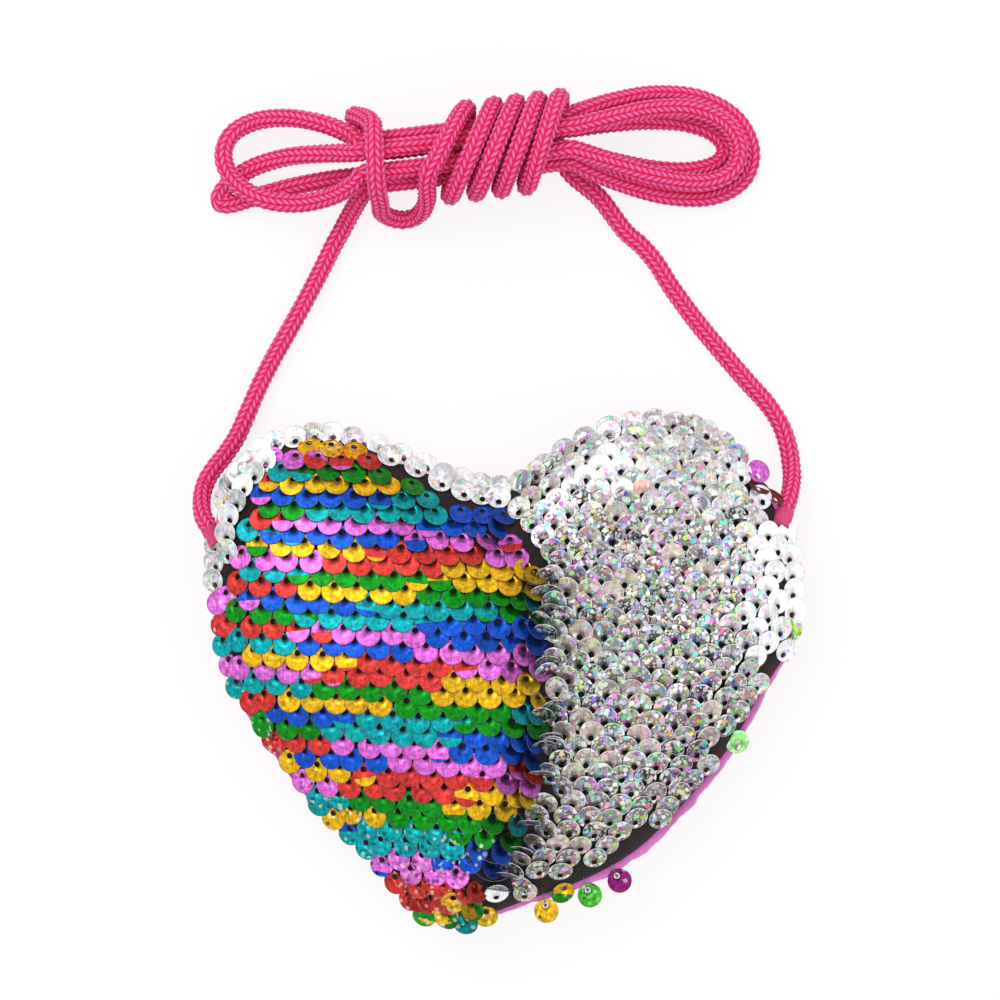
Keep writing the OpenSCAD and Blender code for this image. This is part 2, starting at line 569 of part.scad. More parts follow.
// A disc whose hole is at the origin. hang is -1 where it hangs down from its hole and 1 where it is turned up
module sequin(s, hang) {
    n = normal(s[0], s[1]);
    up = unit([0, 1, 0] - n[1] * n);
    face = unit(n - hang * tan(sequin_tilt) * up);
    v = unit([0, 1, 0] - face[1] * face);
    u = cross(v, face);
    at = [s[0], s[1], front_at(s[0], s[1])] + sequin_lift * n;
    multmatrix([[u[0], v[0], face[0], at[0]], [u[1], v[1], face[1], at[1]], [u[2], v[2], face[2], at[2]],
                [0, 0, 0, 1]])
        linear_extrude(sequin_t, center = true) difference() {
            translate([0, hang * hole_offset]) circle(d = sequin_d, $fn = smooth_sides);
            circle(d = sequin_hole_d, $fn = smooth_sides);
        }
}
// The colours run through six hues along a row, rising in even rows and falling in odd ones
hues = 6;
function zone(s) = 3 * (s[0] / heart_w + 0.5);
function hue(s) = let (h = (s[2] % 2 == 0 ? 4.7 - zone(s) : 1.3 + zone(s)) + 0.75 * s[2])
    round(h - hues * floor(h / hues)) % hues;
module hue_sequins(k) for (s = coloured_sequins) if (hue(s) == k) sequin(s, -1);
module sequins_red() color([0.8, 0.2, 0.2]) hue_sequins(0);
module sequins_gold() color([0.9, 0.72, 0.15]) hue_sequins(1);
module sequins_green() color([0.1, 0.6, 0.2]) hue_sequins(2);
module sequins_teal() color([0, 0.65, 0.67]) hue_sequins(3);
module sequins_blue() color([0.15, 0.38, 0.8]) hue_sequins(4);
module sequins_orchid() color([0.8, 0.4, 0.8]) hue_sequins(5);
module sequins_silver_upper() color([0.8, 0.79, 0.78]) for (s = silver_sequins) if (s[1] > 0) sequin(s, 1);
module sequins_silver_lower() color([0.8, 0.79, 0.78]) for (s = silver_sequins) if (s[1] <= 0) sequin(s, 1);
module sequins_turned_band() color([0.84, 0.83, 0.82]) for (s = band_sequins) sequin(s, 1);

// Loose sequins swing on knotted threads at the lower right edge, at these angles from the heart's middle
loose_angles = [-69, -61, -80];
function knot(angle) = let (r = rim(angle) + loose_out) [r * cos(angle), r * sin(angle), seam_h + loose_lift];
// Each thread comes out of the front at the last ring of facets before the edge
function thread_root(angle) = let (share = front_shares[front_rings - 2], r = share * (rim(angle) - front_step))
    [r * cos(angle), r * sin(angle), front_height(share, 0)];
module loose_threads() color([0.85, 0.85, 0.88])
    for (angle = loose_angles) {
        way = thread_root(angle) - knot(angle);
        translate(knot(angle)) sphere(d = knot_d, $fn = smooth_sides);
        along(knot(angle), way)
            cylinder(d = thread_d, h = norm(way) - thread_gap - thread_d / 2, $fn = smooth_sides);
    }
module loose_sequin(angle)
    translate(knot(angle)) rotate([0, 0, angle - 90])
        linear_extrude(sequin_t, center = true) difference() {
            translate([0, hole_offset]) circle(d = sequin_d, $fn = smooth_sides);
            circle(d = sequin_hole_d, $fn = smooth_sides);
        }
module loose_sequin_green() color([0.2, 0.7, 0.3]) loose_sequin(loose_angles[0]);
module loose_sequin_purple() color([0.6, 0.3, 0.8]) loose_sequin(loose_angles[1]);
module loose_sequin_gold() color([0.9, 0.75, 0.2]) loose_sequin(loose_angles[2]);

front_panel();
front_foam();
front_lining();
back_panel();
back_foam();
back_lining();
seam_binding();
zip_welt();
zip_tape_upper();
zip_tape_lower();
zip_teeth_upper();
zip_teeth_lower();
zip_bottom_stop();
zip_top_stops();
zip_end_tabs();
zip_slider();
zip_pull();
strap_end_left();
strap_end_right();
strap_left();
strap_hank();
strap_right();
sequins_red();
sequins_gold();
sequins_green();
sequins_teal();
sequins_blue();
sequins_orchid();
sequins_silver_upper();
sequins_silver_lower();
sequins_turned_band();
loose_threads();
loose_sequin_green();
loose_sequin_purple();
loose_sequin_gold();
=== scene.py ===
"""The looks of the heart shaped purse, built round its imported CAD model. Lengths are in mm."""
import math

import bmesh
import bpy
import numpy as np
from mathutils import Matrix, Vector


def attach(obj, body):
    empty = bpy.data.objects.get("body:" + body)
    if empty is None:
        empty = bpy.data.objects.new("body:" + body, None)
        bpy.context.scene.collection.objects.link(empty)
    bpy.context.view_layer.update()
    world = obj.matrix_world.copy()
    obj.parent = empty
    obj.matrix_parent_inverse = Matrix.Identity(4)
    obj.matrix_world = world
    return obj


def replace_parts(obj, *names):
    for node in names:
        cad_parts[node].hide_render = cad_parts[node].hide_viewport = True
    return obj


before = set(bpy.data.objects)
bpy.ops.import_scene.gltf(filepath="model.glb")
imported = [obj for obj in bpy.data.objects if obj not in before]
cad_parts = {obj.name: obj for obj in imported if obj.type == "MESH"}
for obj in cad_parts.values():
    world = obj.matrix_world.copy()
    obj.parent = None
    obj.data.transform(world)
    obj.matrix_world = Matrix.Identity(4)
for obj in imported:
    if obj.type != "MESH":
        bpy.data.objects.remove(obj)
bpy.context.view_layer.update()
scene = bpy.context.scene
rng = np.random.default_rng(7)
MM = 0.001
UP = np.array([0, 0, 1.0])


def link(name, data):
    """A new object in the scene."""
    piece = bpy.data.objects.new(name, data)
    scene.collection.objects.link(piece)
    return piece


# Camera: straight above, as in the photograph, with its view in metres
VIEW_W, VIEW_AT, VIEW_Z = 0.210, (-0.00095, 0.0364), 0.012
CAMERA_UP, SENSOR = 1.3, 36
camera = link("camera", bpy.data.cameras.new("camera"))
camera.location = (*VIEW_AT, CAMERA_UP)
camera.data.sensor_width = SENSOR
camera.data.lens = SENSOR * (CAMERA_UP - VIEW_Z) / VIEW_W
camera.data.clip_end = 20
scene.camera = camera
scene.view_settings.view_transform = "Standard"


# Helpers for colours, meshes and materials
def linear(rgb):
    """An 8 bit colour as it is seen, as the linear colour that the shader takes."""
    return tuple(c / 12.92 if c <= 0.04045 else ((c + 0.055) / 1.055) ** 2.4 for c in (v / 255 for v in rgb))


def make_object(name, shape, look, body="purse", attributes=None):
    """A mesh piece from points and faces. attributes holds name: values, one a point or corner."""
    verts, faces = shape
    mesh = bpy.data.meshes.new(name)
    mesh.from_pydata([tuple(p) for p in (np.asarray(verts, float) * MM).tolist()], [], faces)
    mesh.update()
    mesh.polygons.foreach_set("use_smooth", [True] * len(mesh.polygons))
    for key, values in (attributes or {}).items():
        domain = "POINT" if len(values) == len(mesh.vertices) else "CORNER"
        if values.ndim == 1:
            mesh.attributes.new(key, "FLOAT", domain).data.foreach_set("value", values)
        else:
            values = np.concatenate([values, np.ones((len(values), 1))], axis=1)
            mesh.attributes.new(key, "FLOAT_COLOR", domain).data.foreach_set("color", values.ravel())
    mesh.materials.append(look.owner)
    piece = link(name, mesh)
    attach(piece, body)
    return piece


class Nodes:
    """A short way to write the node tree of a material or a world."""

    def __init__(self, name, world=False, **values):
        self.owner = (bpy.data.worlds if world else bpy.data.materials).new(name)
        self.owner.use_nodes = True
        self.tree = self.owner.node_tree
        self.shader = self.tree.nodes["Background" if world else "Principled BSDF"]
        self.shift = None
        self.set(**values)

    def set(self, **values):
        """Inputs of the shader, with _ for each space."""
        self.wire(self.shader, {key.replace("_", " "): value for key, value in values.items()})

    def wire(self, node, inputs):
        """Inputs by name or number: a socket is linked, and a colour gets its alpha."""
        for key, value in inputs.items():
            socket = node.inputs[key]
            if isinstance(value, bpy.types.NodeSocket):
                self.tree.links.new(value, socket)
            else:
                socket.default_value = (*value, 1) if socket.type == "RGBA" else value

    def node(self, kind, inputs=None, **properties):
        node = self.tree.nodes.new("ShaderNode" + kind)
        for key, value in properties.items():
            setattr(node, key, value)
        self.wire(node, inputs or {})
        return node

    def attribute(self, name, output="Fac"):
        return self.node("Attribute", attribute_name=name).outputs[output]

    def place(self, stretch=(1, 1, 1)):
        """Where a point lies, moved for each disc by the attribute that shift names."""
        at = self.node("TexCoord").outputs["Object"]
        if self.shift:
            inputs = {0: at, 1: self.attribute(self.shift, "Vector")}
            at = self.node("VectorMath", inputs, operation="ADD").outputs[0]
        if stretch == (1, 1, 1):
            return at
        return self.node("Mapping", {"Vector": at, "Scale": stretch}).outputs["Vector"]

    def noise(self, scale, detail=2.0, rough=0.5, stretch=(1, 1, 1)):
        inputs = {"Vector": self.place(stretch), "Scale": scale, "Detail": detail, "Roughness": rough}
        return self.node("TexNoise", inputs).outputs["Fac"]

    def wave(self, scale, direction="X", inputs=None):
        inputs = {"Vector": self.place(), "Scale": scale, **(inputs or {})}
        return self.node("TexWave", inputs, bands_direction=direction).outputs["Fac"]

    def cells(self, scale, feature="F1", random=1.0):
        return self.node("TexVoronoi", {"Vector": self.place(), "Scale": scale, "Randomness": random},
                         feature=feature).outputs

    def spread(self, value, low, high, to_low=0.0, to_high=1.0):
        inputs = {"Value": value, "From Min": low, "From Max": high, "To Min": to_low, "To Max": to_high}
        return self.node("MapRange", inputs, clamp=True).outputs["Result"]

    def math(self, operation, a, b=0.0):
        return self.node("Math", {0: a, 1: b}, operation=operation).outputs[0]

    def times(self, a, b):
        return self.math("MULTIPLY", a, b)

    def plus(self, a, b):
        return self.math("ADD", a, b)

    def mix(self, factor, a, b, how="MIX"):
        return self.node("Mix", {0: factor, 6: a, 7: b}, data_type="RGBA", blend_type=how).outputs[2]

    def paint(self, factor, a, b):
        self.set(Base_Color=self.mix(factor, a, b))

    def shade(self, colour, value):
        grey = self.node("CombineColor", {0: value, 1: value, 2: value}).outputs["Color"]
        return self.mix(1.0, colour, grey, "MULTIPLY")

    def hsv(self, hue, saturation, value):
        return self.node("CombineColor", {0: hue, 1: saturation, 2: value}, mode="HSV").outputs["Color"]

    def parts(self, colour):
        return self.node("SeparateColor", {"Color": colour}).outputs

    def bump(self, height, strength, distance, edge=0.0):
        """A bump, on top of edges that look rounded where edge gives their radius."""
        inputs = {"Height": height, "Strength": strength, "Distance": distance * MM}
        if edge:
            inputs["Normal"] = self.node("Bevel", {"Radius": edge * MM}, samples=4).outputs["Normal"]
        self.set(Normal=self.node("Bump", inputs).outputs["Normal"])


# The heart's surfaces, as in the CAD model
HEART_W, HEART_H = 123.0, 105.5
SEAM_H, SWELL, STEP, FLAT = 9.0, 16.0, 0.8, 0.85
OUTLINE_SHARES = [
    (0.01, 0.375), (0.07, 0.42), (0.125, 0.46), (0.2, 0.495), (0.295, 0.5), (0.36, 0.475), (0.42, 0.41),
    (0.47, 0.33), (0.498, 0.22), (0.5, 0.115), (0.485, 0.035), (0.445, -0.04), (0.407, -0.12), (0.36, -0.198),
    (0.296, -0.285), (0.228, -0.36), (0.15, -0.413), (0.055, -0.454), (-0.025, -0.487), (-0.085, -0.5),
    (-0.15, -0.47), (-0.205, -0.4), (-0.275, -0.315), (-0.345, -0.24), (-0.4, -0.155), (-0.45, -0.065),
    (-0.485, 0.035), (-0.5, 0.145), (-0.5, 0.25), (-0.485, 0.345), (-0.445, 0.415), (-0.385, 0.465),
    (-0.29, 0.475), (-0.21, 0.45), (-0.125, 0.41), (-0.05, 0.38)]


def curve_point(a, b, c, d, t):
    return 0.5 * (2 * b + (c - a) * t + (2 * a - 5 * b + 4 * c - d) * t * t + (3 * b - a - 3 * c + d) * t ** 3)


def closed_curve(points, steps):
    n = len(points)
    return np.array([curve_point(*[points[(i + k) % n] for k in (-1, 0, 1, 2)], j / steps)
                     for i in range(n) for j in range(steps)])


outline = closed_curve(np.array(OUTLINE_SHARES) * [HEART_W, HEART_H], 8)
rim_angles = np.degrees(np.arctan2(outline[:, 1], outline[:, 0]))
rim_angles = np.concatenate([rim_angles - 360, rim_angles, rim_angles + 360])
order = np.argsort(rim_angles)
rim_angles, rim_radii = rim_angles[order], np.tile(np.hypot(outline[:, 0], outline[:, 1]), 3)[order]


def rim(angle):
    return np.interp(angle, rim_angles, rim_radii)


def front_height(share, depth=0.0):
    return SEAM_H + (SWELL - depth) * np.maximum(1 - np.clip(share, 0, 1) ** 2.4, 0) ** 0.6


def front_at(x, y):
    return front_height(np.hypot(x, y) / (rim(np.degrees(np.arctan2(y, x))) - STEP))


def unit(v):
    return v / np.linalg.norm(v)


def sin(degrees):
    return np.sin(np.radians(degrees))


def cos(degrees):
    return np.cos(np.radians(degrees))


def polar(r, angles, z):
    """Points round the heart's middle."""
    return np.stack([r * cos(angles), r * sin(angles), z + 0 * angles], axis=1)


def front_normal(x, y):
    e = 0.5
    return unit(np.array([front_at(x - e, y) - front_at(x + e, y),
                          front_at(x, y - e) - front_at(x, y + e), 2 * e]))


def ripple(angle, waves, seed):
    """A smooth closed wobble along the seam, between about -1 and 1."""
    local = np.random.default_rng(seed)
    total = np.zeros_like(angle, dtype=float)
    for k in waves:
        total += local.uniform(0.5, 1) * np.sin(np.radians(angle) * k + local.uniform(0, 6.28))
    return total / math.sqrt(len(waves))


def rings_round(centres, radius, turn, side, other):
    """A ring of points round each centre, in the plane of side and other. turn is in radians, one a point."""
    spokes = np.cos(turn)[:, None] * side[..., None, :] + np.sin(turn)[:, None] * other[..., None, :]
    return centres[:, None, :] + np.asarray(radius)[..., None] * spokes


def joined(shapes):
    """Points and faces of several shapes as one."""
    verts, faces, count = [], [], 0
    for points, corners in shapes:
        verts.append(points)
        faces += [[k + count for k in face] for face in corners]
        count += len(points)
    return np.concatenate(verts), faces


def lofted(rings, closed=True):
    """Points and faces of a tube through rings of one size, closed by a point in the middle of each end."""
    rings = np.asarray(rings, float)
    count, sides = rings.shape[:2]
    verts = rings.reshape(-1, 3)
    k = np.arange(count - 1)[:, None] * sides
    i = np.arange(sides)[None, :]
    j = (i + 1) % sides
    faces = np.stack([k + i, k + j, k + sides + j, k + sides + i], axis=-1).reshape(-1, 4).tolist()
    if not closed:
        return verts, faces
    last = (count - 1) * sides
    for a in range(sides):
        b = (a + 1) % sides
        faces += [[len(verts), b, a], [len(verts) + 1, last + a, last + b]]
    return np.concatenate([verts, [rings[0].mean(axis=0), rings[-1].mean(axis=0)]]), faces


# The cord's route, the same points as in the CAD model. It lies on the floor between its feet and the hank
CORD_D = 3.8
FLOOR_Z = CORD_D / 2
SEAM_EXITS = ((154, (-0.45, 0.75, -0.48)), (30, (0.3, 0.78, -0.54)))
LEFT_ROUTE = [(-63.3, 39.9), (-61.6, 42.9), (-59.2, 45.9), (-56.6, 49.9), (-54.1, 55.5), (-51.4, 61.6),
              (-48.4, 67.4), (-45, 73.4), (-41.6, 79.6), (-38.6, 85.4)]
RIGHT_ROUTE = [(25.4, 93.4), (29, 90.2), (32.2, 86.4), (35.2, 81.6), (40.6, 74.2), (46.4, 67.2), (51.6, 61.2),
               (55.4, 57), (58.2, 52.8), (59.8, 48.6), (60.6, 44.4)]
LEFT_FOOT, RIGHT_FOOT = (-64, 36.6, 3.7), (60.8, 40.8, 3.5)
HANK_AT, HANK_TURN, CORE_L = (-30, 107), 7, 43.6
CORE_R, WRAP_R = 4.65, 8.95
AXIS_Z = WRAP_R + FLOOR_Z
BIGHT_LEAN, WRAP_LEAN, WRAP_LEAN_FALL = 0.3, 0.55, 0.04
WRAP_PITCH, WRAP_START, WRAP_SLACK, WRAP_FIRST, WRAP_END = 5, 14.7, 2.6, 120, -1530


def in_core(x, angle):
    return (x, CORE_R * cos(angle), AXIS_Z + CORE_R * sin(angle))


def on_wrap(x, angle, lean):
    across = WRAP_R * cos(angle)
    return (x + lean * across, across, AXIS_Z + WRAP_R * sin(angle))


def to_right(angle, start):
    stops = [start, start + 3, start + 8, CORE_L / 2, CORE_L - 8, CORE_L - 3, CORE_L]
    return [in_core(x, angle) for x in stops]


def to_left(angle, end):
    return to_right(angle, end)[::-1]


def hank_loop(start, side, angle_out, angle_back, reach, half, full, slope, hook, far_z, hold, hump=(0, 1, 0)):
    widest = math.acos(-full / (1 + full))
    scale = 1 / (math.sin(widest) * ((1 - math.cos(widest)) / 2) ** full)
    points = []
    for i in range(1, 12):
        u = i / 12
        share = (1 - cos(360 * u)) / 2
        strand = in_core(0, angle_out if u < 0.5 else angle_back)
        across = scale * half * sin(360 * u) * share ** full
        bulge = hump[2] * math.exp(-((u - hump[0]) / hump[1]) ** 4)
        points.append((start + side * reach * share,
                       across + slope * reach * share + hook * share ** 3 + strand[1] * (1 - share) ** 2,
                       far_z + (strand[2] - far_z) * (1 - share) ** hold + bulge))
    return points


def hank_points():
    wraps = []
    for angle in range(WRAP_FIRST, WRAP_END - 1, -30):
        turns = (180 - angle) / 360
        wraps.append(on_wrap(WRAP_START + WRAP_SLACK * min(turns, 1) + WRAP_PITCH * turns, angle,
                             WRAP_LEAN - WRAP_LEAN_FALL * turns))
    points = [(-8.2, -15.9, FLOOR_Z), (-6.5, -13.6, FLOOR_Z), (-4.8, -11.2, 2.5), (-2.9, -8.8, 4.9),
              (-0.8, -6.4, 8.5), (1.8, -4.8, AXIS_Z - 0.2)]
    points += to_right(180, 5)
    points += hank_loop(CORE_L, 1, 180, 0, 38.4, -10.4, 0.5, -0.17, 0, FLOOR_Z, 2.2)
    points += to_left(0, 0)
    points += hank_loop(0, -1, 0, 120, 28.8, 8.6, 0.3, 0.17, 0, FLOOR_Z, 1.6, (0.57, 0.2, 5.3))
    points += to_right(120, 0)
    points += hank_loop(CORE_L, 1, 120, 60, 35.7, -7.7, 0.75, -0.17, 0, FLOOR_Z + 3.7, 1.1)
    points += to_left(60, 0)
    points += hank_loop(0, -1, 60, 240, 31, 2.9, 0.7, 0.08, -6, FLOOR_Z, 1.2)
    points += to_right(240, 0)
    points += hank_loop(CORE_L, 1, 240, 300, 33, -5.1, 0.6, -0.17, 0, FLOOR_Z, 2)
    points += to_left(300, 7)
    points += [(3.6, 3, 5.6), (0.8, 5.6, 3.2), (-0.4, 9.2, 3.6), (-0.2, 10.6, 7.4)]
    points += [on_wrap(x, angle, BIGHT_LEAN)
               for x, angle in ((0.6, 20), (1.8, 55), (3, 90), (4.2, 125), (5.4, 160))]
    points += [(2.9, -10.4, 9.6), (4.7, -11.8, 6.8), (7.6, -12.5, 5.8), (10.6, -11.8, 7), (12.5, -9.6, 11.4)]
    points += wraps
    last = wraps[-1][0]
    points += [(last + a, b, FLOOR_Z) for a, b in ((0.9, -3.8), (2.8, -7.2), (5.4, -10), (8.2, -13.2))]
    c, s = cos(HANK_TURN), sin(HANK_TURN)
    return [(HANK_AT[0] + c * x - s * y, HANK_AT[1] + s * x + c * y, z) for x, y, z in points]


def seam_exit(angle):
    r = rim(angle) + 0.7
    return np.array([r * cos(angle), r * sin(angle), SEAM_H - 0.6])


def open_curve(points, steps):
    points = np.asarray(points, float)
    padded = np.concatenate([[2 * points[0] - points[1]], points, [2 * points[-1] - points[-2]]])
    out = [curve_point(*padded[i:i + 4], j / steps) for i in range(len(points) - 1) for j in range(steps)]
    return np.array(out + [points[-1]])


def resample(points, step):
    along = np.concatenate([[0], np.cumsum(np.linalg.norm(np.diff(points, axis=0), axis=1))])
    count = int(round(along[-1] / step)) + 1
    marks = np.linspace(0, along[-1], count)
    return np.stack([np.interp(marks, along, points[:, k]) for k in range(3)], axis=1), along[-1]


def sweep_frames(path):
    """Unit vectors along the path and across it, carried along without turning."""
    aim = np.gradient(path, axis=0)
    aim /= np.linalg.norm(aim, axis=1)[:, None]
    side = np.zeros_like(aim)
    v = UP
    for i, a in enumerate(aim):
        v = unit(v - (v @ a) * a)
        side[i] = v
    return aim, side, np.cross(aim, side)


exits = [seam_exit(a) for a, _ in SEAM_EXITS]
aims = [unit(np.array(v)) for _, v in SEAM_EXITS]
route = ([exits[0], exits[0] + aims[0] * CORD_D, LEFT_FOOT] + [(x, y, FLOOR_Z) for x, y in LEFT_ROUTE]
         + hank_points() + [(x, y, FLOOR_Z) for x, y in RIGHT_ROUTE]
         + [RIGHT_FOOT, exits[1] + aims[1] * CORD_D, exits[1]])
smooth_route = open_curve(route, 10)
smooth_route[:, 2] = np.maximum(smooth_route[:, 2], FLOOR_Z)
STITCH, WALES, RINGS_A_STITCH, SIDES_A_WALE = 1.42, 4, 5, 9
V_SLOPE, LEG_POWER, GROOVE, RELIEF = 1.0, 2.4, 0.3, 0.5
cord_path, cord_length = resample(smooth_route, STITCH / RINGS_A_STITCH)


def knit_height(along, around):
    """Relief of a knitted tube, 0 in a groove and 1 on a strand: columns of stacked V stitches."""
    x = np.abs(np.mod(around, 1) - 0.5) * 2
    leg = 1 - np.abs(2 * x - 1) ** LEG_POWER
    strand = 0.5 + 0.5 * np.cos(2 * math.pi * (along + V_SLOPE * x))
    return leg * (0.25 + 0.75 * strand)


def knitted_cord():
    """The cord's shape, and its stitches and columns counted at each corner. Stitches vary a little in
    length, and the columns drift round the cord."""
    aim, side, cross = sweep_frames(cord_path)
    n, sides = len(cord_path), WALES * SIDES_A_WALE
    marks = np.arange(n) / RINGS_A_STITCH
    stitch = marks + 0.12 * np.sin(marks / 2.3)
    drift = 0.3 * np.sin(marks / 23) + 0.2 * np.sin(marks / 9.1 + 1)
    turn = np.arange(sides + 1) / SIDES_A_WALE
    angle = 2 * math.pi * turn[:-1] / WALES
    relief = knit_height(stitch[:, None], turn[None, :-1] + drift[:, None])
    radius = CORD_D / 2 - GROOVE + RELIEF * relief
    shape = lofted(rings_round(cord_path, radius, angle, side, cross))
    k, i = np.meshgrid(np.arange(n - 1), np.arange(sides), indexing="ij")
    rows = np.stack([k, k, k + 1, k + 1], axis=-1).ravel()
    columns = np.stack([i, i + 1, i + 1, i], axis=-1).ravel()
    caps = np.full(6 * sides, 0.25)
    return shape, {"stitch": np.concatenate([stitch[rows], caps]),
                   "wale": np.concatenate([turn[columns] + drift[rows], caps])}


def cord_look():
    m = Nodes("knitted_cord", Roughness=0.6, Sheen_Weight=0.35, Sheen_Roughness=0.35,
              Sheen_Tint=linear((255, 130, 215)), Specular_IOR_Level=0.2)
    centred = m.math("SUBTRACT", m.math("FRACT", m.attribute("wale")), 0.5)
    x = m.times(m.math("ABSOLUTE", centred), 2)
    off = m.math("ABSOLUTE", m.math("SUBTRACT", m.times(x, 2), 1))
    leg = m.math("SUBTRACT", 1, m.math("POWER", off, LEG_POWER))
    wave = m.math("COSINE", m.times(m.plus(m.attribute("stitch"), m.times(x, V_SLOPE)), 2 * math.pi))
    height = m.times(leg, m.plus(0.625, m.times(wave, 0.375)))
    height = m.plus(height, m.times(m.math("SUBTRACT", m.noise(2400, 3, 0.65), 0.5), 0.5))
    # Painted light: the colour follows the relief, with painted shade deep in the grooves and a painted
    # highlight on the strands' tops
    groove_shade = m.mix(m.spread(height, 0.02, 0.42), linear((226, 12, 54)), linear((255, 62, 134)))
    m.paint(m.spread(height, 0.4, 0.95), groove_shade, linear((255, 138, 204)))
    m.bump(height, 0.7, 0.28)
    return m


shape, knit = knitted_cord()
cord = make_object("cord", shape, cord_look(), attributes=knit)
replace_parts(cord, "strap_left", "strap_hank", "strap_right")


# Bound ends of the cord: a tight thread winding round each end
BOUND_L, BOUND_R, BOUND_TURNS, THREAD_T = 4.2, 2.15, 11, 0.16
thread = Nodes("binding_thread", Roughness=0.5, Sheen_Weight=0.3)
thread.paint(thread.noise(1500, 3), linear((214, 30, 96)), linear((246, 84, 156)))
thread.bump(thread.noise(5200, 2, stretch=(1, 1, 4)), 0.4, 0.05)


def winding(name, at, aim):
    t = np.linspace(0, 1, 90)[:, None]
    turn = np.linspace(0, 2 * math.pi, 40, endpoint=False)
    ridge = 0.5 + 0.5 * np.cos(2 * math.pi * (t * BOUND_TURNS) - turn)
    side = unit(np.cross(aim, UP))
    rings = rings_round(at - aim * BOUND_L * (1 - t), BOUND_R - THREAD_T + THREAD_T * ridge ** 0.7, turn, side,
                        np.cross(aim, side))
    return make_object(name, lofted(rings), thread)


for name, at, aim in zip(("left", "right"), exits, aims):
    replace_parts(winding("strap_binding_" + name, at, aim), "strap_end_" + name)


# The padded front: black sequin mesh over foam
def mesh_look():
    m = Nodes("sequin_mesh", Roughness=0.75, Sheen_Weight=0.08, Specular_IOR_Level=0.2)
    net = m.spread(m.cells(1250, "DISTANCE_TO_EDGE", 0.45)["Distance"], 0.06, 0.22, 1, 0)
    cloth = m.mix(m.noise(260, 3), linear((12, 9, 10)), linear((28, 21, 23)))
    cloth = m.mix(m.spread(m.noise(150, 2), 0.56, 0.72), cloth, linear((88, 22, 26)))
    m.paint(net, cloth, linear((40, 32, 34)))
    m.bump(net, 0.6, 0.15)
    return m


def front_rings(depth, angles, shares, wobble=0.0):
    rings = []
    for s in shares:
        r = s * (rim(angles) - STEP - depth)
        fade = s ** 6 * (1 - s) * 6
        r = r + wobble * fade * ripple(angles, (23, 31, 44, 57), 3)
        rings.append(polar(r, angles, front_height(s, depth)))
    return rings


ANGLES, COARSE, PAD_T = np.arange(240) * 1.5, np.arange(120) * 3.0, 2.9
front_shares = np.sin(np.linspace(0.012, 1, 44) * math.pi / 2)
rings = front_rings(0, ANGLES, front_shares, 0.5)
rings += front_rings(PAD_T, ANGLES, front_shares[::-3])
front = make_object("padded_front", lofted(rings), mesh_look())
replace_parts(front, "front_panel", "front_foam")


# The padded back: pink satin, drawn in a little along the seam, with a window for the zip
def satin_look():
    m = Nodes("pink_satin", Roughness=0.42, Sheen_Weight=0.25, Sheen_Roughness=0.3, Anisotropic=0.5,
              Sheen_Tint=linear((255, 205, 240)), Specular_IOR_Level=0.5)
    threads = m.wave(620.0, "DIAGONAL", {"Distortion": 0.8, "Detail": 1.0, "Detail Scale": 2.0})
    slub = m.noise(1, 2, 0.6, stretch=(2600, 300, 300))
    colour = m.mix(m.spread(m.noise(22, 2), 0.35, 0.65), linear((246, 114, 212)), linear((252, 136, 224)))
    colour = m.mix(m.times(threads, 0.3), colour, linear((255, 170, 238)))
    m.paint(m.spread(slub, 0.45, 0.75, 0, 0.3), colour, linear((222, 84, 184)))
    folds = m.plus(m.noise(48, 2), m.noise(170, 2, 0.6, (1, 0.4, 1)))
    m.bump(m.plus(m.times(threads, 0.05), folds), 0.3, 1.4)
    return m


satin = satin_look()
ZIP_Y, WINDOW_L, WINDOW_W, WINDOW_Z = 13.0, 84.0, 13.5, (-2, 5.2)


def back_height(share, depth):
    t = np.clip((share - FLAT) / (1 - FLAT), 0, 1)
    return depth + (SEAM_H - depth) * (1 - np.sqrt(1 - t ** 2))


def back_rings(depth, angles, shares, pucker=0.0):
    rings = []
    for s in shares:
        t = max((s - FLAT) / (1 - FLAT), 0)
        wobble = pucker * t ** 0.7 * ripple(angles, (37, 53, 71, 88), 11)
        r = s * (rim(angles) - depth) - 0.3 * np.abs(wobble)
        z = back_height(s, depth) + np.abs(wobble) * (1.15 - t) * 1.6
        rings.append(polar(r, angles, z))
    return rings


def cut_window(piece):
    """Cuts the zip's window with a box, which is then taken away again."""
    spans = [(-WINDOW_L / 2, WINDOW_L / 2), (ZIP_Y - WINDOW_W / 2, ZIP_Y + WINDOW_W / 2), WINDOW_Z]
    box = bpy.data.meshes.new("cutter")
    box.from_pydata([(x * MM, y * MM, z * MM) for x in spans[0] for y in spans[1] for z in spans[2]], [],
                    [(0, 1, 3, 2), (4, 6, 7, 5), (0, 4, 5, 1), (2, 3, 7, 6), (0, 2, 6, 4), (1, 5, 7, 3)])
    cutter = link("cutter", box)
    modifier = piece.modifiers.new("window", "BOOLEAN")
    modifier.operation, modifier.solver, modifier.object = "DIFFERENCE", "EXACT", cutter
    bpy.context.view_layer.update()
    cut = bpy.data.meshes.new_from_object(piece.evaluated_get(bpy.context.evaluated_depsgraph_get()))
    piece.modifiers.clear()
    piece.data = cut
    cut.set_sharp_from_angle(angle=math.radians(50))
    bpy.data.objects.remove(cutter)


down_angles = -np.arange(480) * 0.75
back_shares = np.concatenate([[0.02, 0.2, 0.4, 0.6, 0.75],
                              FLAT + (1 - FLAT) * np.sin(np.linspace(0, 1, 22) * math.pi / 2)])
rings = back_rings(0, down_angles, back_shares, 0.7)
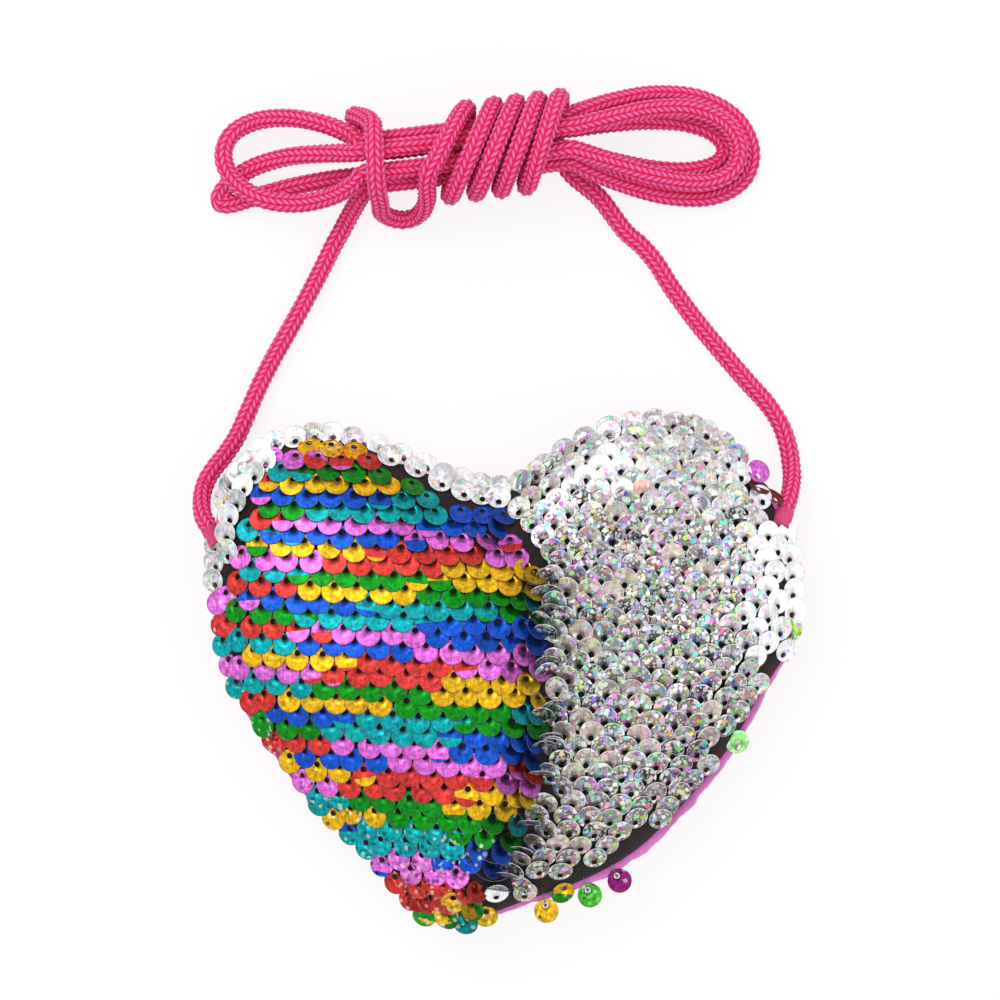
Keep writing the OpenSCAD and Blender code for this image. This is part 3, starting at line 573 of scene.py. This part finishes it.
# The satin rolls out past the front along the lower right, where it shows as a thin pink edge, and then
# turns up and back in
ROLL_OUT, ROLL_AT, ROLL_WIDE, ROLL_RINGS = 0.9, 318, 40, 12
roll_out = ROLL_OUT * np.exp(-((np.mod(down_angles, 360) - ROLL_AT) / ROLL_WIDE) ** 4)
roll_out *= 1 + 0.3 * ripple(down_angles, (26, 41, 63), 5)
outward = polar(1, down_angles, 0)
for k in range(ROLL_RINGS):
    rings[-1 - k] = rings[-1 - k] + outward * (roll_out * (1 - k / ROLL_RINGS))[:, None]
edge = rings[-1]
rings += [edge + [0, 0, up] - outward * inward for up, inward in ((0.45, 0.15), (0.6, 0.7), (0.3, 1.5))]
rings += back_rings(PAD_T, down_angles, back_shares[::-2])
back = make_object("padded_back", lofted(rings), satin)
cut_window(back)
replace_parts(back, "back_panel", "back_foam")


# Two rows of stitches that hold the window's edge
SEW_PITCH, SEW_L, SEW_R, SEW_Z = 2.0, 1.6, 0.17, 0.03


def stitches(corners):
    path = resample(np.array([(x, y, SEW_Z) for x, y in corners + corners[:1]]), SEW_PITCH)[0]
    t = np.linspace(-1, 1, 7)[:, None]
    radius = SEW_R * np.sqrt(np.maximum(1 - (t * 0.96) ** 4, 0)) * (1 + 0.08 * np.sin(9 * t))
    for a, b in zip(path[:-1], path[1:]):
        aim = unit(b - a)
        yield lofted(rings_round((a + b) / 2 + aim * t * SEW_L / 2, radius, np.arange(8) * math.pi / 4,
                                 np.cross(aim, UP), UP))


for name, out in (("inner", 1.3), ("outer", 3.2)):
    w, h = WINDOW_L / 2 + out, WINDOW_W / 2 + out
    corners = [(-w, ZIP_Y - h), (w, ZIP_Y - h), (w, ZIP_Y + h), (-w, ZIP_Y + h)]
    make_object("window_stitches_" + name, joined(stitches(corners)), thread)


# The lining, front and back, and the bound seam allowance inside
weave = Nodes("lining_weave", Roughness=0.7, Sheen_Weight=0.2)
weave.paint(weave.noise(140, 3), linear((232, 128, 176)), linear((246, 164, 204)))
weave.bump(weave.wave(1400.0), 0.3, 0.06)
FRONT_LINING_IN, BACK_LINING_IN, LINING_T = 3.2, 3.25, 0.4
inner_shares = np.sin(np.linspace(0.03, 1, 20) * math.pi / 2)
rings = front_rings(FRONT_LINING_IN, COARSE, inner_shares)
rings += front_rings(FRONT_LINING_IN + LINING_T, COARSE, inner_shares[::-1])
front_lining = make_object("lining_front", lofted(rings), weave)
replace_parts(front_lining, "front_lining")
lining_shares = back_shares[::2]
rings = back_rings(BACK_LINING_IN, -COARSE, lining_shares)
rings += back_rings(BACK_LINING_IN + LINING_T, -COARSE, lining_shares[::-1])
back_lining = make_object("lining_back", lofted(rings), weave)
cut_window(back_lining)
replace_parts(back_lining, "back_lining")


def blunt(value):
    """Turns a circle's sine or cosine into that of a rounded square."""
    return math.copysign(abs(value) ** 0.5, value)


SEAM_IN, SEAM_TAPE_W, SEAM_TAPE_T = 5.2, 1.5, 0.55
rings = []
for a in np.linspace(0, 2 * math.pi, 12, endpoint=False):
    depth = SEAM_IN + SEAM_TAPE_W * (1 - blunt(math.cos(a)))
    z = SEAM_H + SEAM_TAPE_T * blunt(math.sin(a))
    rings.append(polar(rim(COARSE) - depth, COARSE, z + 0.05 * sin(COARSE * 90)))
binding = make_object("seam_tape", lofted(rings + rings[:1], closed=False), thread)
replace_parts(binding, "seam_binding")


# Sequins
HUES = [(212, 58, 52), (238, 186, 24), (6, 142, 24), (0, 164, 170), (18, 84, 204), (228, 112, 220)]
HUE_NAMES = ["red", "gold", "green", "teal", "blue", "orchid"]
SEQUIN_R, HOLE_R, HOLE_OFF, SEQUIN_T = 2.57, 0.62, 1.2, 0.12
COLUMN, ROW, ROW_ZERO, FALL = 4.95, 2.92, 14.2, 3
# By height: the strip between the two fields and its width, and how far the silver field reaches over it
BORDER_SHARES = [(-0.5, -0.02), (-0.41, -0.008), (-0.25, 0.06), (-0.055, 0.068), (0.22, 0.05), (0.36, 0.005),
                 (0.5, 0.005)]
BORDER_GAP = [(-52, 4.5), (-38, 2.6), (-25, 0.8), (0, 0.6), (18, 0.6), (26, -0.6), (33, -1.8), (40, -2)]
SILVER_BULGE = [(21, 0.4), (25, 1.7), (29, 3.2), (33, 3.4), (36, 1.8), (39, 0)]
# By angle: how far the fields stay from the rim, at the lower right and along the turned band
BARE_EDGE = [(-90, 3.4), (-70, 3.0), (-55, 2.2), (-40, 1.5), (-10, 1.4), (2, 1.8)]
BAND_DEPTH = [(90, 4.3), (100, 5.5), (109, 7.2), (117, 5.2), (122, 1.6), (137, 1.4), (142, 4.6), (150, 6.2),
              (157, 5.2), (162, 3), (166, 1.6)]
FIELD_IN, FOOT_CLEAR, FLATTER_FROM = {-1: 1.8, 1: 1.9}, 3.5, 6


def table(points, x):
    return np.interp(x, [p[0] for p in points], [p[1] for p in points])


def border(y):
    return HEART_W * table([(b[0] * HEART_H, b[1]) for b in BORDER_SHARES], y)


class Discs:
    """Collects sequins and makes one mesh of them."""

    turn = np.arange(26) * 2 * math.pi / 26
    # Share of the way from the hole to the edge, level in thicknesses, how much it is edge: the foil paints
    # the edge lighter on silver discs as a painted highlight, and darker on coloured ones as a painted shadow
    # line
    rings = [(0.0, -0.5, 0), (0.0, 0.5, 0), (0.5, 0.5, 0), (0.92, 0.5, 0), (0.965, 0.46, 1), (1.0, 0.15, 1),
             (1.0, -0.3, 1), (0.96, -0.5, 1)]

    def __init__(self):
        self.shapes = []
        self.attributes = {"tone": [], "tone2": [], "info": [], "seed": [], "rim": []}

    def add(self, place, tone, tone2=None, split=9.0, glitter=0.3, size=1.0, cup=0.0, bend=0.0):
        """One disc. tone2 begins at split, which is a distance from the hole."""
        at, face, up, hang = place
        face = unit(face)
        v = unit(up - (up @ face) * face)
        u = np.cross(v, face)
        circle = np.stack([np.cos(self.turn), np.sin(self.turn)], axis=1)
        centre = np.array([0, hang * HOLE_OFF])
        verts, info = [], []
        for share, level, _ in self.rings:
            flat = circle * HOLE_R * (1 - share) + (centre + circle * SEQUIN_R * size) * share
            rel = (flat - centre) / SEQUIN_R
            lift = cup * (rel ** 2).sum(axis=1) + bend * rel[:, 0] ** 2 + level * SEQUIN_T
            verts.append(at + flat[:, :1] * u + flat[:, 1:] * v + lift[:, None] * face)
            info.append(np.stack([flat[:, 1] * hang, 0 * self.turn + split, 0 * self.turn + glitter], axis=1))
        n, sides = len(self.rings), len(self.turn)
        faces = [[a + i, a + j, b + j, b + i] for a, b in ((k * sides, (k + 1) % n * sides) for k in range(n))
                 for i, j in ((i, (i + 1) % sides) for i in range(sides))]
        self.shapes.append((np.concatenate(verts), faces))
        colours = {"tone": tone, "tone2": tone if tone2 is None else tone2, "seed": rng.uniform(0, 0.5, 3)}
        for key, colour in colours.items():
            self.attributes[key].append(np.tile(colour, (n * sides, 1)))
        self.attributes["info"].append(np.concatenate(info))
        self.attributes["rim"].append(np.repeat(np.array(self.rings)[:, 2], sides))

    def build(self, name, look, slot, body="purse"):
        merged = {key: np.concatenate(values) for key, values in self.attributes.items()}
        return make_object(name, joined(self.shapes), look, body, merged)


def foil(name, silver):
    """Printed foil: a brushed, mottled colour with a glitter of round spots, and tinted patches on silver."""
    m = Nodes(name, Metallic=0.6 if silver else 0.7, Roughness=0.3 if silver else 0.36, Specular_IOR_Level=0.4)
    m.shift = "seed"
    info = m.parts(m.attribute("info", "Color"))
    glitter = info["Blue"]
    second = m.math("GREATER_THAN", info["Red"], info["Green"])
    colour = m.mix(second, m.attribute("tone", "Color"), m.attribute("tone2", "Color"))
    darkest = m.spread(glitter, 0.12, 0.4, 0.92, 0.55) if silver else 0.62
    blotch = m.spread(m.noise(900, 3, 0.6), 0.3, 0.7, darkest, 1.26)
    lines = m.spread(m.noise(1, 1, 0.5, stretch=(3800, 260, 260)), 0.3, 0.7, 0.84, 1.14)
    colour = m.shade(colour, m.times(blotch, lines))
    spots = m.cells(1000 if silver else 960)
    pick = m.parts(spots["Color"])
    reach = 0.53 if silver else 0.42
    round_spot = m.spread(spots["Distance"], reach, reach + 0.09, 1, 0)
    if silver:
        patch = m.parts(m.cells(420)["Color"])
        tint = m.hsv(patch["Green"], m.times(glitter, 0.36),
                     m.spread(patch["Red"], 0, 1, m.spread(glitter, 0.12, 0.4, 0.95, 0.5), 1.2))
        colour = m.mix(1.0, colour, tint, "MULTIPLY")
        small = m.cells(1750)
        other = m.parts(small["Color"])
        fine = m.times(m.spread(small["Distance"], 0.42, 0.52, 1, 0), m.spread(glitter, 0.1, 0.6))
        fine_colour = m.hsv(other["Green"], m.spread(other["Blue"], 0.2, 1, 0, 0.55),
                            m.spread(other["Red"], 0, 1, 0.04, 1.0))
        colour = m.mix(m.times(fine, 0.85), colour, fine_colour)
        lit = m.math("LESS_THAN", pick["Red"], m.plus(m.times(glitter, 0.72), 0.12))
        spectrum = m.hsv(pick["Green"], m.spread(pick["Blue"], 0.3, 0.9, 0.06, 0.85),
                         m.spread(pick["Red"], 0.1, 0.75, 1.0, 0.35))
        strength = m.times(round_spot, m.times(lit, m.spread(glitter, 0.05, 0.6, 0.3, 0.95)))
        colour = m.mix(strength, colour, spectrum)
    else:
        glittery = m.spread(glitter, 0.5, 0.9)
        dark = m.times(m.times(round_spot, m.math("LESS_THAN", pick["Red"], 0.3)), 0.3)
        colour = m.mix(dark, colour, (0, 0, 0))
        grain = m.parts(m.cells(2100)["Color"])
        colour = m.shade(colour, m.spread(grain["Red"], 0, 1, 0.78, 1.2))
        bright = m.shade(colour, m.spread(pick["Green"], 0.0, 1.0, 0.3, 1.7))
        bright = m.mix(m.spread(pick["Blue"], 0.72, 0.8, 0, 0.42), bright, (0.9, 0.9, 0.85))
        colour = m.mix(m.times(round_spot, glittery), colour, bright)
    # Painted light at the discs' edges: a painted highlight on silver, a painted shadow line on coloured foil
    m.paint(m.times(m.attribute("rim"), 0.6 if silver else 0.45), colour,
            (0.8, 0.8, 0.8) if silver else (0.08, 0.08, 0.08))
    m.bump(m.noise(1500, 2), 0.12, 0.1)
    return m


def hue_of(row, x):
    """Printed stripes: one row runs through the hues one way and the next row back."""
    zone = np.clip(0.04 * x + 2.43 + 0.12 * math.sin(1.7 * row), 0, 3)
    return ((4.8 - zone if row % 2 == 0 else 0.75 + zone) + 0.75 * row) % 6


def vary(rgb, amount):
    return np.clip(np.array(linear(rgb)) * rng.uniform(1 - amount, 1 + amount)
                   * rng.uniform(1 - amount / 3, 1 + amount / 3, 3), 0, 1)


def inside_of(x, y):
    return rim(math.degrees(math.atan2(y, x))) - STEP - math.hypot(x, y)


def seat(x, y, hang, tilt, roll, lift, outward=0.0):
    """Where a disc's hole lies, its face, the way up along the cloth, and hang: 1 where the disc lies above
    its hole, -1 below. Near the rim discs lie flatter than the cloth."""
    n = front_normal(x, y)
    flat = 0.5 * np.clip(1 - inside_of(x, y) / FLATTER_FROM, 0, 1)
    lie = unit(n * (1 - flat) + flat * UP)
    swing = rng.normal(0, 0.14)
    way = unit(np.array([x, y, 0])) * outward + np.array([math.sin(swing), math.cos(swing), 0]) * (1 - outward)
    up = unit(way - (way @ lie) * lie)
    side = np.cross(up, lie)
    face = unit(lie - hang * math.tan(math.radians(tilt)) * up + math.tan(math.radians(roll)) * side)
    return np.array([x, y, front_at(x, y)]) + lift * n, face, up, hang


def nearest(x, y, spots):
    return min(np.hypot(x - p[0], y - p[1]) for p in spots)


groups = {name: Discs() for name in HUE_NAMES}


def add_coloured(row, x, y, last=False):
    hue = hue_of(row, x)
    k = int(round(hue)) % 6
    off = hue - round(hue)
    near = (k + (1 if off > 0 else -1)) % 6
    two = abs(off) > 0.36 and rng.uniform() < 0.4
    inside = inside_of(x, y)
    glittery = ((y < -31 and rng.uniform() < 0.85) or (inside < 6 and y < -18)
                or (inside < 4 and rng.uniform() < 0.5))
    tilt, roll, shade = 8.6 + rng.normal(0, 1.0), 3.2 + rng.normal(0, 1.3), 1.0
    # A row's first disc stands up at the strip, and shade darkens its colour as painted shade
    if last:
        tilt, roll, shade = 12 + rng.uniform(0, 12), rng.uniform(8, 28), rng.uniform(0.5, 0.9)
    groups[HUE_NAMES[k]].add(
        seat(x, y, -1, tilt, roll, 0.42), vary(HUES[k], 0.12) * shade,
        vary(HUES[near], 0.1) * shade if two else None, split=rng.uniform(0.6, 3.2) if two else 9.0,
        glitter=0.9 if glittery else rng.uniform(0.1, 0.4), size=rng.uniform(1.0, 1.03),
        cup=rng.uniform(-0.03, 0.06), bend=rng.uniform(-0.06, 0.12))


# Discs in place of silver ones at the right lobe's upper edge: place, colour, shade, tilt and lift. The shade
# is painted shade, which darkens the two red ones as if they lay in shadow
TURNED_OVER = [(52.0, 40.4, "orchid", 1.0, -2, 1.9), (52.6, 38.0, "red", 0.14, -34, 1.5),
               (55.8, 36.0, "red", 0.34, -36, 1.3)]
# Silver discs with a colour of their own: place, colour and glitter
ODD_ONES = [(60.0, 6.5, (170, 214, 40), 0.5), (47.9, -15, (150, 226, 120), 0.3),
            (30.0, 37.5, (226, 176, 170), 0.2)]
TURNED_CLEAR, ODD_REACH = 1.9, 2.3


def silver_tone(white):
    """Base colour and glitter of a silver disc. white is mostly painted highlight, which paints a disc lighter
    where light falls on it; the less white it is, the more of them are warm or dark.
    """
    kind = rng.uniform()
    value = 0.3 + 0.6 * white + rng.uniform(-0.1, 0.1)
    warm = rng.uniform(0, 0.11) * (1 - white)
    tone = np.array([value + warm, value - 0.01, value - 0.5 * warm])
    glitter = 1.0 - 0.8 * white + rng.normal(0, 0.1)
    if white > 0.97:
        tone, glitter = np.array([0.9, 0.9, 0.92]), rng.uniform(0.1, 0.22)
    elif kind < 0.1 and white < 0.5:
        tone, glitter = np.array([0.62, 0.5, 0.44]) * rng.uniform(0.8, 1.1), 0.3
    elif kind < 0.22 and white < 0.5:
        tone = np.array([0.07, 0.075, 0.08]) * rng.uniform(0.8, 1.4)
    elif kind < 0.32:
        tone, glitter = tone * 1.5 + 0.1, 0.4
    return np.clip(tone, 0.04, 0.93), float(np.clip(glitter, 0.08, 1))


def add_silver(group, x, y, first=False, outward=0.0, white=None, lift=0.5):
    if nearest(x, y, TURNED_OVER) < TURNED_CLEAR:
        return
    if white is None:
        # Painted highlight: discs are painted whiter towards the top and along the right edge, where they
        # catch the light
        top = 0.75 * np.clip((y - 24) / 17, 0, 1)
        edge = 1.3 * np.clip((x - 47.5) / 6.5, 0, 1) * np.clip((y + 10) / 10, 0, 1)
        white = np.clip(max(top, edge) + rng.normal(0, 0.12), 0, 1)
    tone, glitter = silver_tone(white)
    for odd in ODD_ONES:
        if nearest(x, y, [odd]) < ODD_REACH:
            tone, glitter = linear(odd[2]), odd[3]
    tilt, roll = 8 + rng.normal(0, 1.8), -3.4 + rng.normal(0, 2.2)
    if first:
        tilt, roll, lift = rng.uniform(12, 26), rng.uniform(-32, -5), lift + 0.35
    group.add(seat(x, y, 1, tilt, roll, lift + rng.uniform(0, 0.15), outward), tone, glitter=glitter,
              size=rng.uniform(0.98, 1.04), cup=rng.uniform(-0.04, 0.06), bend=rng.uniform(-0.08, 0.12))


def turned(x, y):
    """From the rows' own frame, which falls a little to the right, to the part's."""
    return x * cos(FALL) + y * sin(FALL), y * cos(FALL) - x * sin(FALL)


def brick(start, last):
    """A row's start, moved by half a column at most so that its discs lie between those of the row above."""
    moves = np.linspace(0, COLUMN / 2, 11)
    return start + moves[np.abs(np.mod(start + moves - last, COLUMN) - COLUMN / 2).argmin()]


starts = {-1: 0.0, 1: 0.0}
silver_upper, silver_lower, turned_band = Discs(), Discs(), Discs()
for row in range(-15, 25):
    level = ROW_ZERO - ROW * row - 0.025 * min(row, 0) ** 2
    middle = border(turned(5, level)[1])
    gap, bulge = table(BORDER_GAP, level), table(SILVER_BULGE, level)
    for side in (-1, 1):
        reach = (3.3 + max(bulge - 1.8, 0) if side < 0 else 2.9 - bulge) + gap / 2
        starts[side] = brick(side * middle + reach + rng.uniform(-0.3, 0.3), starts[side])
        for column in range(17):
            along = starts[side] + COLUMN * column + rng.uniform(-0.4, 0.4)
            x, y = turned(side * along, level + rng.uniform(-0.3, 0.3))
            angle, clear = math.degrees(math.atan2(y, x)), FIELD_IN[side]
            if side < 0 and 75 < angle < 170:
                clear = table(BAND_DEPTH, angle)
            if side > 0 and angle < BARE_EDGE[-1][0]:
                clear = table(BARE_EDGE, angle)
            if nearest(x, y, exits) < FOOT_CLEAR or inside_of(x, y) <= clear:
                continue
            if side < 0:
                add_coloured(row, x, y, column == 0 or (column == 1 and rng.uniform() < 0.15))
            else:
                add_silver(silver_upper if y > 0 else silver_lower, x, y, column == 0 and bulge < 1)


# Rows along the seam, which stand out past it: silver ones along the left lobe, with a second row in front,
# and along the right lobe, and coloured ones along the lower left
def along_rim(start, stop, inside, step):
    angle = start
    while angle < stop:
        r = float(rim(angle)) - STEP - inside - rng.uniform(-0.3, 0.3)
        x, y = r * cos(angle), r * sin(angle)
        if nearest(x, y, exits) >= FOOT_CLEAR:
            yield x, y, angle
        angle += math.degrees((step + rng.uniform(-0.5, 0.5)) / r)


# The discs along the rims are painted whiter, as a painted highlight
for x, y, angle in along_rim(91.5, 164, 0.9, 3.3):
    add_silver(turned_band, x, y, outward=0.5, white=rng.uniform(0.85 if angle < 125 else 0.55, 1), lift=0.55)
for start, stop in ((92, 120), (139, 160)):
    for x, y, angle in along_rim(start, stop, 3.4, 3.7):
        add_silver(turned_band, x, y, outward=0.35, white=rng.uniform(0.85, 1), lift=0.95)
for x, y, angle in along_rim(4, 90, 0.9, 3.7):
    add_silver(silver_upper, x, y, outward=0.35, white=rng.uniform(0.5, 1) if angle > 40 else 1.0, lift=0.6)
for start, stop, inside in ((165, 184, 1.1), (185, 213, 2.5), (214, 254, 1.1)):
    for x, y, angle in along_rim(start, stop, inside, 4.4):
        add_coloured(round((ROW_ZERO - y * cos(FALL) - x * sin(FALL)) / ROW), x, y)

# Painted shade: the shade column darkens the two red discs' colour
for x, y, name, shade, tilt, lift in TURNED_OVER:
    groups[name].add(seat(x, y, 1, tilt, 0, lift, 0.3),
                     vary(HUES[HUE_NAMES.index(name)], 0.05) * shade, glitter=0.1)

# Single discs that lie by themselves in the bare part near the tip, and one over the edge at the right
for x, y, white, lift in ((-1.9, -46.4, 1.0, 0.7), (4.0, -46.2, 0.3, 0.7), (47.9, -15, 0.5, 1.7)):
    add_silver(silver_lower, x, y, white=white, lift=lift)
NEAR_TIP = [(-17.6, -46.2, 0, 0.45), (-16.6, -49.3, 2, 1.5), (-12.2, -49.8, 2, 0.8), (-8.2, -50.9, 3, 0.7),
            (-4.2, -49.3, 1, 0.9), (-6.9, -48.2, 2, 0.7), (12.4, -44.4, 1, 0.9), (-10.6, -46.4, 1, 0.9)]
for x, y, k, shade in NEAR_TIP:
    groups[HUE_NAMES[k]].add(seat(x, y, -1, 4, rng.uniform(-12, 12), 0.9), vary(HUES[k], 0.1) * shade,
                             vary(HUES[2], 0.1), split=1.4 if x > 0 else 9, glitter=0.95)

# Discs that stand nearly on edge along the bare strip: coloured ones that end the rows, darkened as painted
# shade, and dark tinted ones between the two fields, of which the rims, painted light as a highlight, show as
# arcs
for row in range(-8, 22):
    level = ROW_ZERO - ROW * row
    middle, gap = border(turned(5, level)[1]), table(BORDER_GAP, level)
    x, y = turned(middle - 0.6 - gap / 2 + rng.uniform(-0.5, 0.3), level - rng.uniform(0, 1.5))
    if inside_of(x, y) > 3 and table(SILVER_BULGE, level) < 2 and rng.uniform() < 0.8:
        k = int(round(hue_of(row, x))) % 6
        groups[HUE_NAMES[k]].add(seat(x, y, -1, rng.uniform(14, 34), rng.uniform(22, 50), 0.6),
                                 vary(HUES[k], 0.1) * rng.uniform(0.25, 0.6), glitter=0.2)
    for far, share in ((0.4, 0.5), (1.6, 0.2)) if gap > 0 else ():
        x, y = turned(middle + far + gap / 2 + rng.uniform(-0.7, 0.7), level + rng.uniform(-1.2, 0.6))
        if inside_of(x, y) > 4 and rng.uniform() < share:
            silver_lower.add(seat(x, y, 1, rng.uniform(32, 66), rng.uniform(-28, 22), 0.7),
                             np.array(linear(HUES[int(rng.integers(2, 6))])) * 0.2 + 0.05,
                             glitter=rng.uniform(0.4, 0.9), bend=rng.uniform(-0.15, 0.3))

for name in HUE_NAMES:
    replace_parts(groups[name].build("flip_sequins_" + name, foil("foil_" + name, False), "sequin_" + name),
                "sequins_" + name)
silver_foil = foil("foil_silver", True)
silver = {"silver_upper": silver_upper, "silver_lower": silver_lower, "turned_band": turned_band}
for name, group in silver.items():
    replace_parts(group.build("flip_sequins_" + name, silver_foil, "sequin_silver"), "sequins_" + name)


# Loose sequins, and clear nylon threads
LOOSE = (("green", -69, (70, 180, 50)), ("purple", -61, (150, 26, 124)), ("gold", -80, (238, 190, 36)))
LOOSE_OUT, LOOSE_Z = 1.5, SEAM_H + 0.9
for name, angle, tone in LOOSE:
    out = np.array([cos(angle), sin(angle), 0])
    one = Discs()
    one.add((out * (float(rim(angle)) + LOOSE_OUT) + LOOSE_Z * UP, UP, out, 1), linear(tone), glitter=0.95)
    look = foil("foil_loose_" + name, False)
    piece = one.build("loose_disc_" + name, look, "sequin_" + name, "loose_" + name)
    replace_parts(piece, "loose_sequin_" + name)


def threads(name, lines, radius):
    shapes = []
    for points in lines:
        path = resample(open_curve(points, 6), 0.25)[0]
        _, side, cross = sweep_frames(path)
        shapes.append(lofted(rings_round(path, radius, np.arange(6) * math.pi / 3, side, cross)))
    return make_object(name, joined(shapes), nylon)


def arcs():
    """Clear loops of thread along the bare strip."""
    for row in range(-9, 23):
        level = ROW_ZERO - ROW * row + rng.uniform(-1, 1)
        if rng.uniform() < 0.65:
            continue
        middle = border(turned(5, level)[1])
        start, reach, fall = middle - 3.5 + rng.uniform(-1.5, 1), rng.uniform(4, 9), rng.uniform(-2.5, 3)
        points = []
        for t in np.linspace(0, 1, 7):
            x, y = turned(start + reach * t, level - fall * t - 1.44 * sin(180 * t))
            if inside_of(x, y) < 1:
                break
            points.append((x, y, front_at(x, y) + 0.4 + 1.2 * sin(180 * (0.12 + 0.8 * t))))
        if len(points) == 7:
            yield points


TETHER = [(-1.9, 0.6), (-0.9, 0.55), (0.4, 0.5), (1.2, 0.42), (1.5, 0), (1.2, -0.42), (0.3, -0.5),
          (-0.4, -0.55)]


def tethers():
    """Each loose sequin's thread: out of the mesh, down through the hole and back below the disc."""
    for _, angle, _ in LOOSE:
        out, r = np.array([cos(angle), sin(angle), 0]), float(rim(angle))
        yield [out * (r + a) + UP * (LOOSE_Z + b) for a, b in TETHER]
        t = np.linspace(0, 2 * math.pi, 25)
        knot = np.stack([np.sin(t) + 2 * np.sin(2 * t), np.cos(t) - 2 * np.cos(2 * t), -np.sin(3 * t)], axis=1)
        yield list(out * (r + LOOSE_OUT) + UP * (LOOSE_Z + 0.1) + 0.13 * knot)


nylon = Nodes("nylon", Roughness=0.2, Specular_IOR_Level=0.8)
nylon.paint(nylon.noise(900, 2), (0.1, 0.1, 0.12), (0.3, 0.31, 0.34))
threads("nylon_threads", arcs(), 0.06)
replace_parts(threads("loose_tethers", tethers(), 0.12), "loose_threads")


# Materials of the CAD nodes that stay
metal = Nodes("plated_metal", Metallic=1.0, Roughness=0.24)
metal.paint(metal.spread(metal.noise(420, 4, 0.6), 0.4, 0.7), (0.6, 0.6, 0.63), (0.42, 0.42, 0.44))
metal.bump(metal.noise(1, 2, 0.5, stretch=(400, 5200, 400)), 0.25, 0.05, edge=0.2)
moulded = Nodes("moulded_teeth", Roughness=0.34, Specular_IOR_Level=0.5)
moulded.paint(moulded.noise(500, 2), linear((238, 96, 168)), linear((250, 140, 196)))
moulded.bump(moulded.noise(900, 2), 0.15, 0.05, edge=0.22)
tape = Nodes("zip_tape", Roughness=0.75, Sheen_Weight=0.3)
ribs = tape.plus(tape.times(tape.wave(1150.0, "DIAGONAL"), 0.6), tape.times(tape.wave(500.0, "Y"), 0.4))
tape.paint(ribs, linear((198, 44, 112)), linear((238, 96, 160)))
tape.bump(ribs, 0.5, 0.12)


# The slider and its pull, with rounded edges: worked out from the CAD nodes' shapes
def rounded(name, node, width):
    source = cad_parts[node]
    shape = bmesh.new()
    shape.from_mesh(source.data)
    bmesh.ops.transform(shape, matrix=source.matrix_world, verts=shape.verts)
    bmesh.ops.remove_doubles(shape, verts=shape.verts, dist=0.002 * MM)
    bmesh.ops.dissolve_limit(shape, angle_limit=math.radians(1), verts=shape.verts, edges=shape.edges)
    sharp = [e for e in shape.edges if len(e.link_faces) == 2 and e.calc_face_angle(0) > math.radians(40)]
    bmesh.ops.bevel(shape, geom=sharp, offset=width * MM, segments=3, profile=0.5, affect="EDGES",
                    clamp_overlap=True)
    mesh = bpy.data.meshes.new(name)
    shape.to_mesh(mesh)
    shape.free()
    mesh.polygons.foreach_set("use_smooth", [True] * len(mesh.polygons))
    mesh.set_sharp_from_angle(angle=math.radians(35))
    mesh.materials.append(metal.owner)
    piece = link(name, mesh)
    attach(piece, node)
    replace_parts(piece, node)


rounded("slider_body", "zip_slider", 0.2)
rounded("slider_pull", "zip_pull", 0.22)

KEPT = {"zip_bottom_stop": metal, "zip_top_stops": metal, "zip_teeth_upper": moulded,
        "zip_teeth_lower": moulded, "zip_tape_upper": tape, "zip_tape_lower": tape, "zip_end_tabs": tape,
        "zip_welt": satin}
for node, look in KEPT.items():
    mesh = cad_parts[node].data
    mesh.materials.clear()
    mesh.materials.append(look.owner)

# Floor: pale with a glow of its own to the camera and in reflections, and plain grey to every other ray
FLOOR_SIZE, FLOOR_AT = 3.0, -0.0002
mesh = bpy.data.meshes.new("floor")
corners = ((-1, -1), (1, -1), (1, 1), (-1, 1))
mesh.from_pydata([(x * FLOOR_SIZE, y * FLOOR_SIZE, FLOOR_AT) for x, y in corners], [], [(0, 1, 2, 3)])
floor = link("floor", mesh)
ground = Nodes("floor_white")
ground.tree.nodes.remove(ground.shader)
rays = ground.node("LightPath").outputs
direct = ground.math("MAXIMUM", rays["Is Camera Ray"], rays["Is Glossy Ray"])
plain, pale = [ground.node("BsdfDiffuse", {"Color": (grey, grey, grey)}).outputs[0] for grey in (0.8, 0.21)]
glow = ground.node("Emission", {"Strength": 0.82}).outputs[0]
pale = ground.node("AddShader", {0: pale, 1: glow}).outputs[0]
ground.wire(ground.tree.nodes["Material Output"],
            {"Surface": ground.node("MixShader", {0: direct, 1: plain, 2: pale}).outputs[0]})
floor.data.materials.append(ground.owner)

# Light: a white world, weaker where it lights the cloth than where it is seen or mirrored, and two lamps
studio = Nodes("studio", world=True, Color=(1, 1, 1))
scene.world = studio.owner
rays = studio.node("LightPath").outputs
direct = studio.math("MAXIMUM", rays["Is Camera Ray"], rays["Is Glossy Ray"])
direct = studio.math("MAXIMUM", direct, rays["Is Transmission Ray"])
studio.set(Strength=studio.spread(direct, 0, 1, 0.62, 1.0))


def area_light(name, at, size, power):
    lamp = bpy.data.lights.new(name, "AREA")
    lamp.shape, lamp.size, lamp.energy = "SQUARE", size, power
    piece = link(name, lamp)
    piece.location = at
    piece.rotation_euler = (Vector((0, 0.03, 0)) - Vector(at)).to_track_quat("-Z", "Y").to_euler()


area_light("key", (-0.7, 0.9, 1.3), 1.0, 9.0)
area_light("fill", (0.9, -0.4, 1.2), 1.0, 4.0)
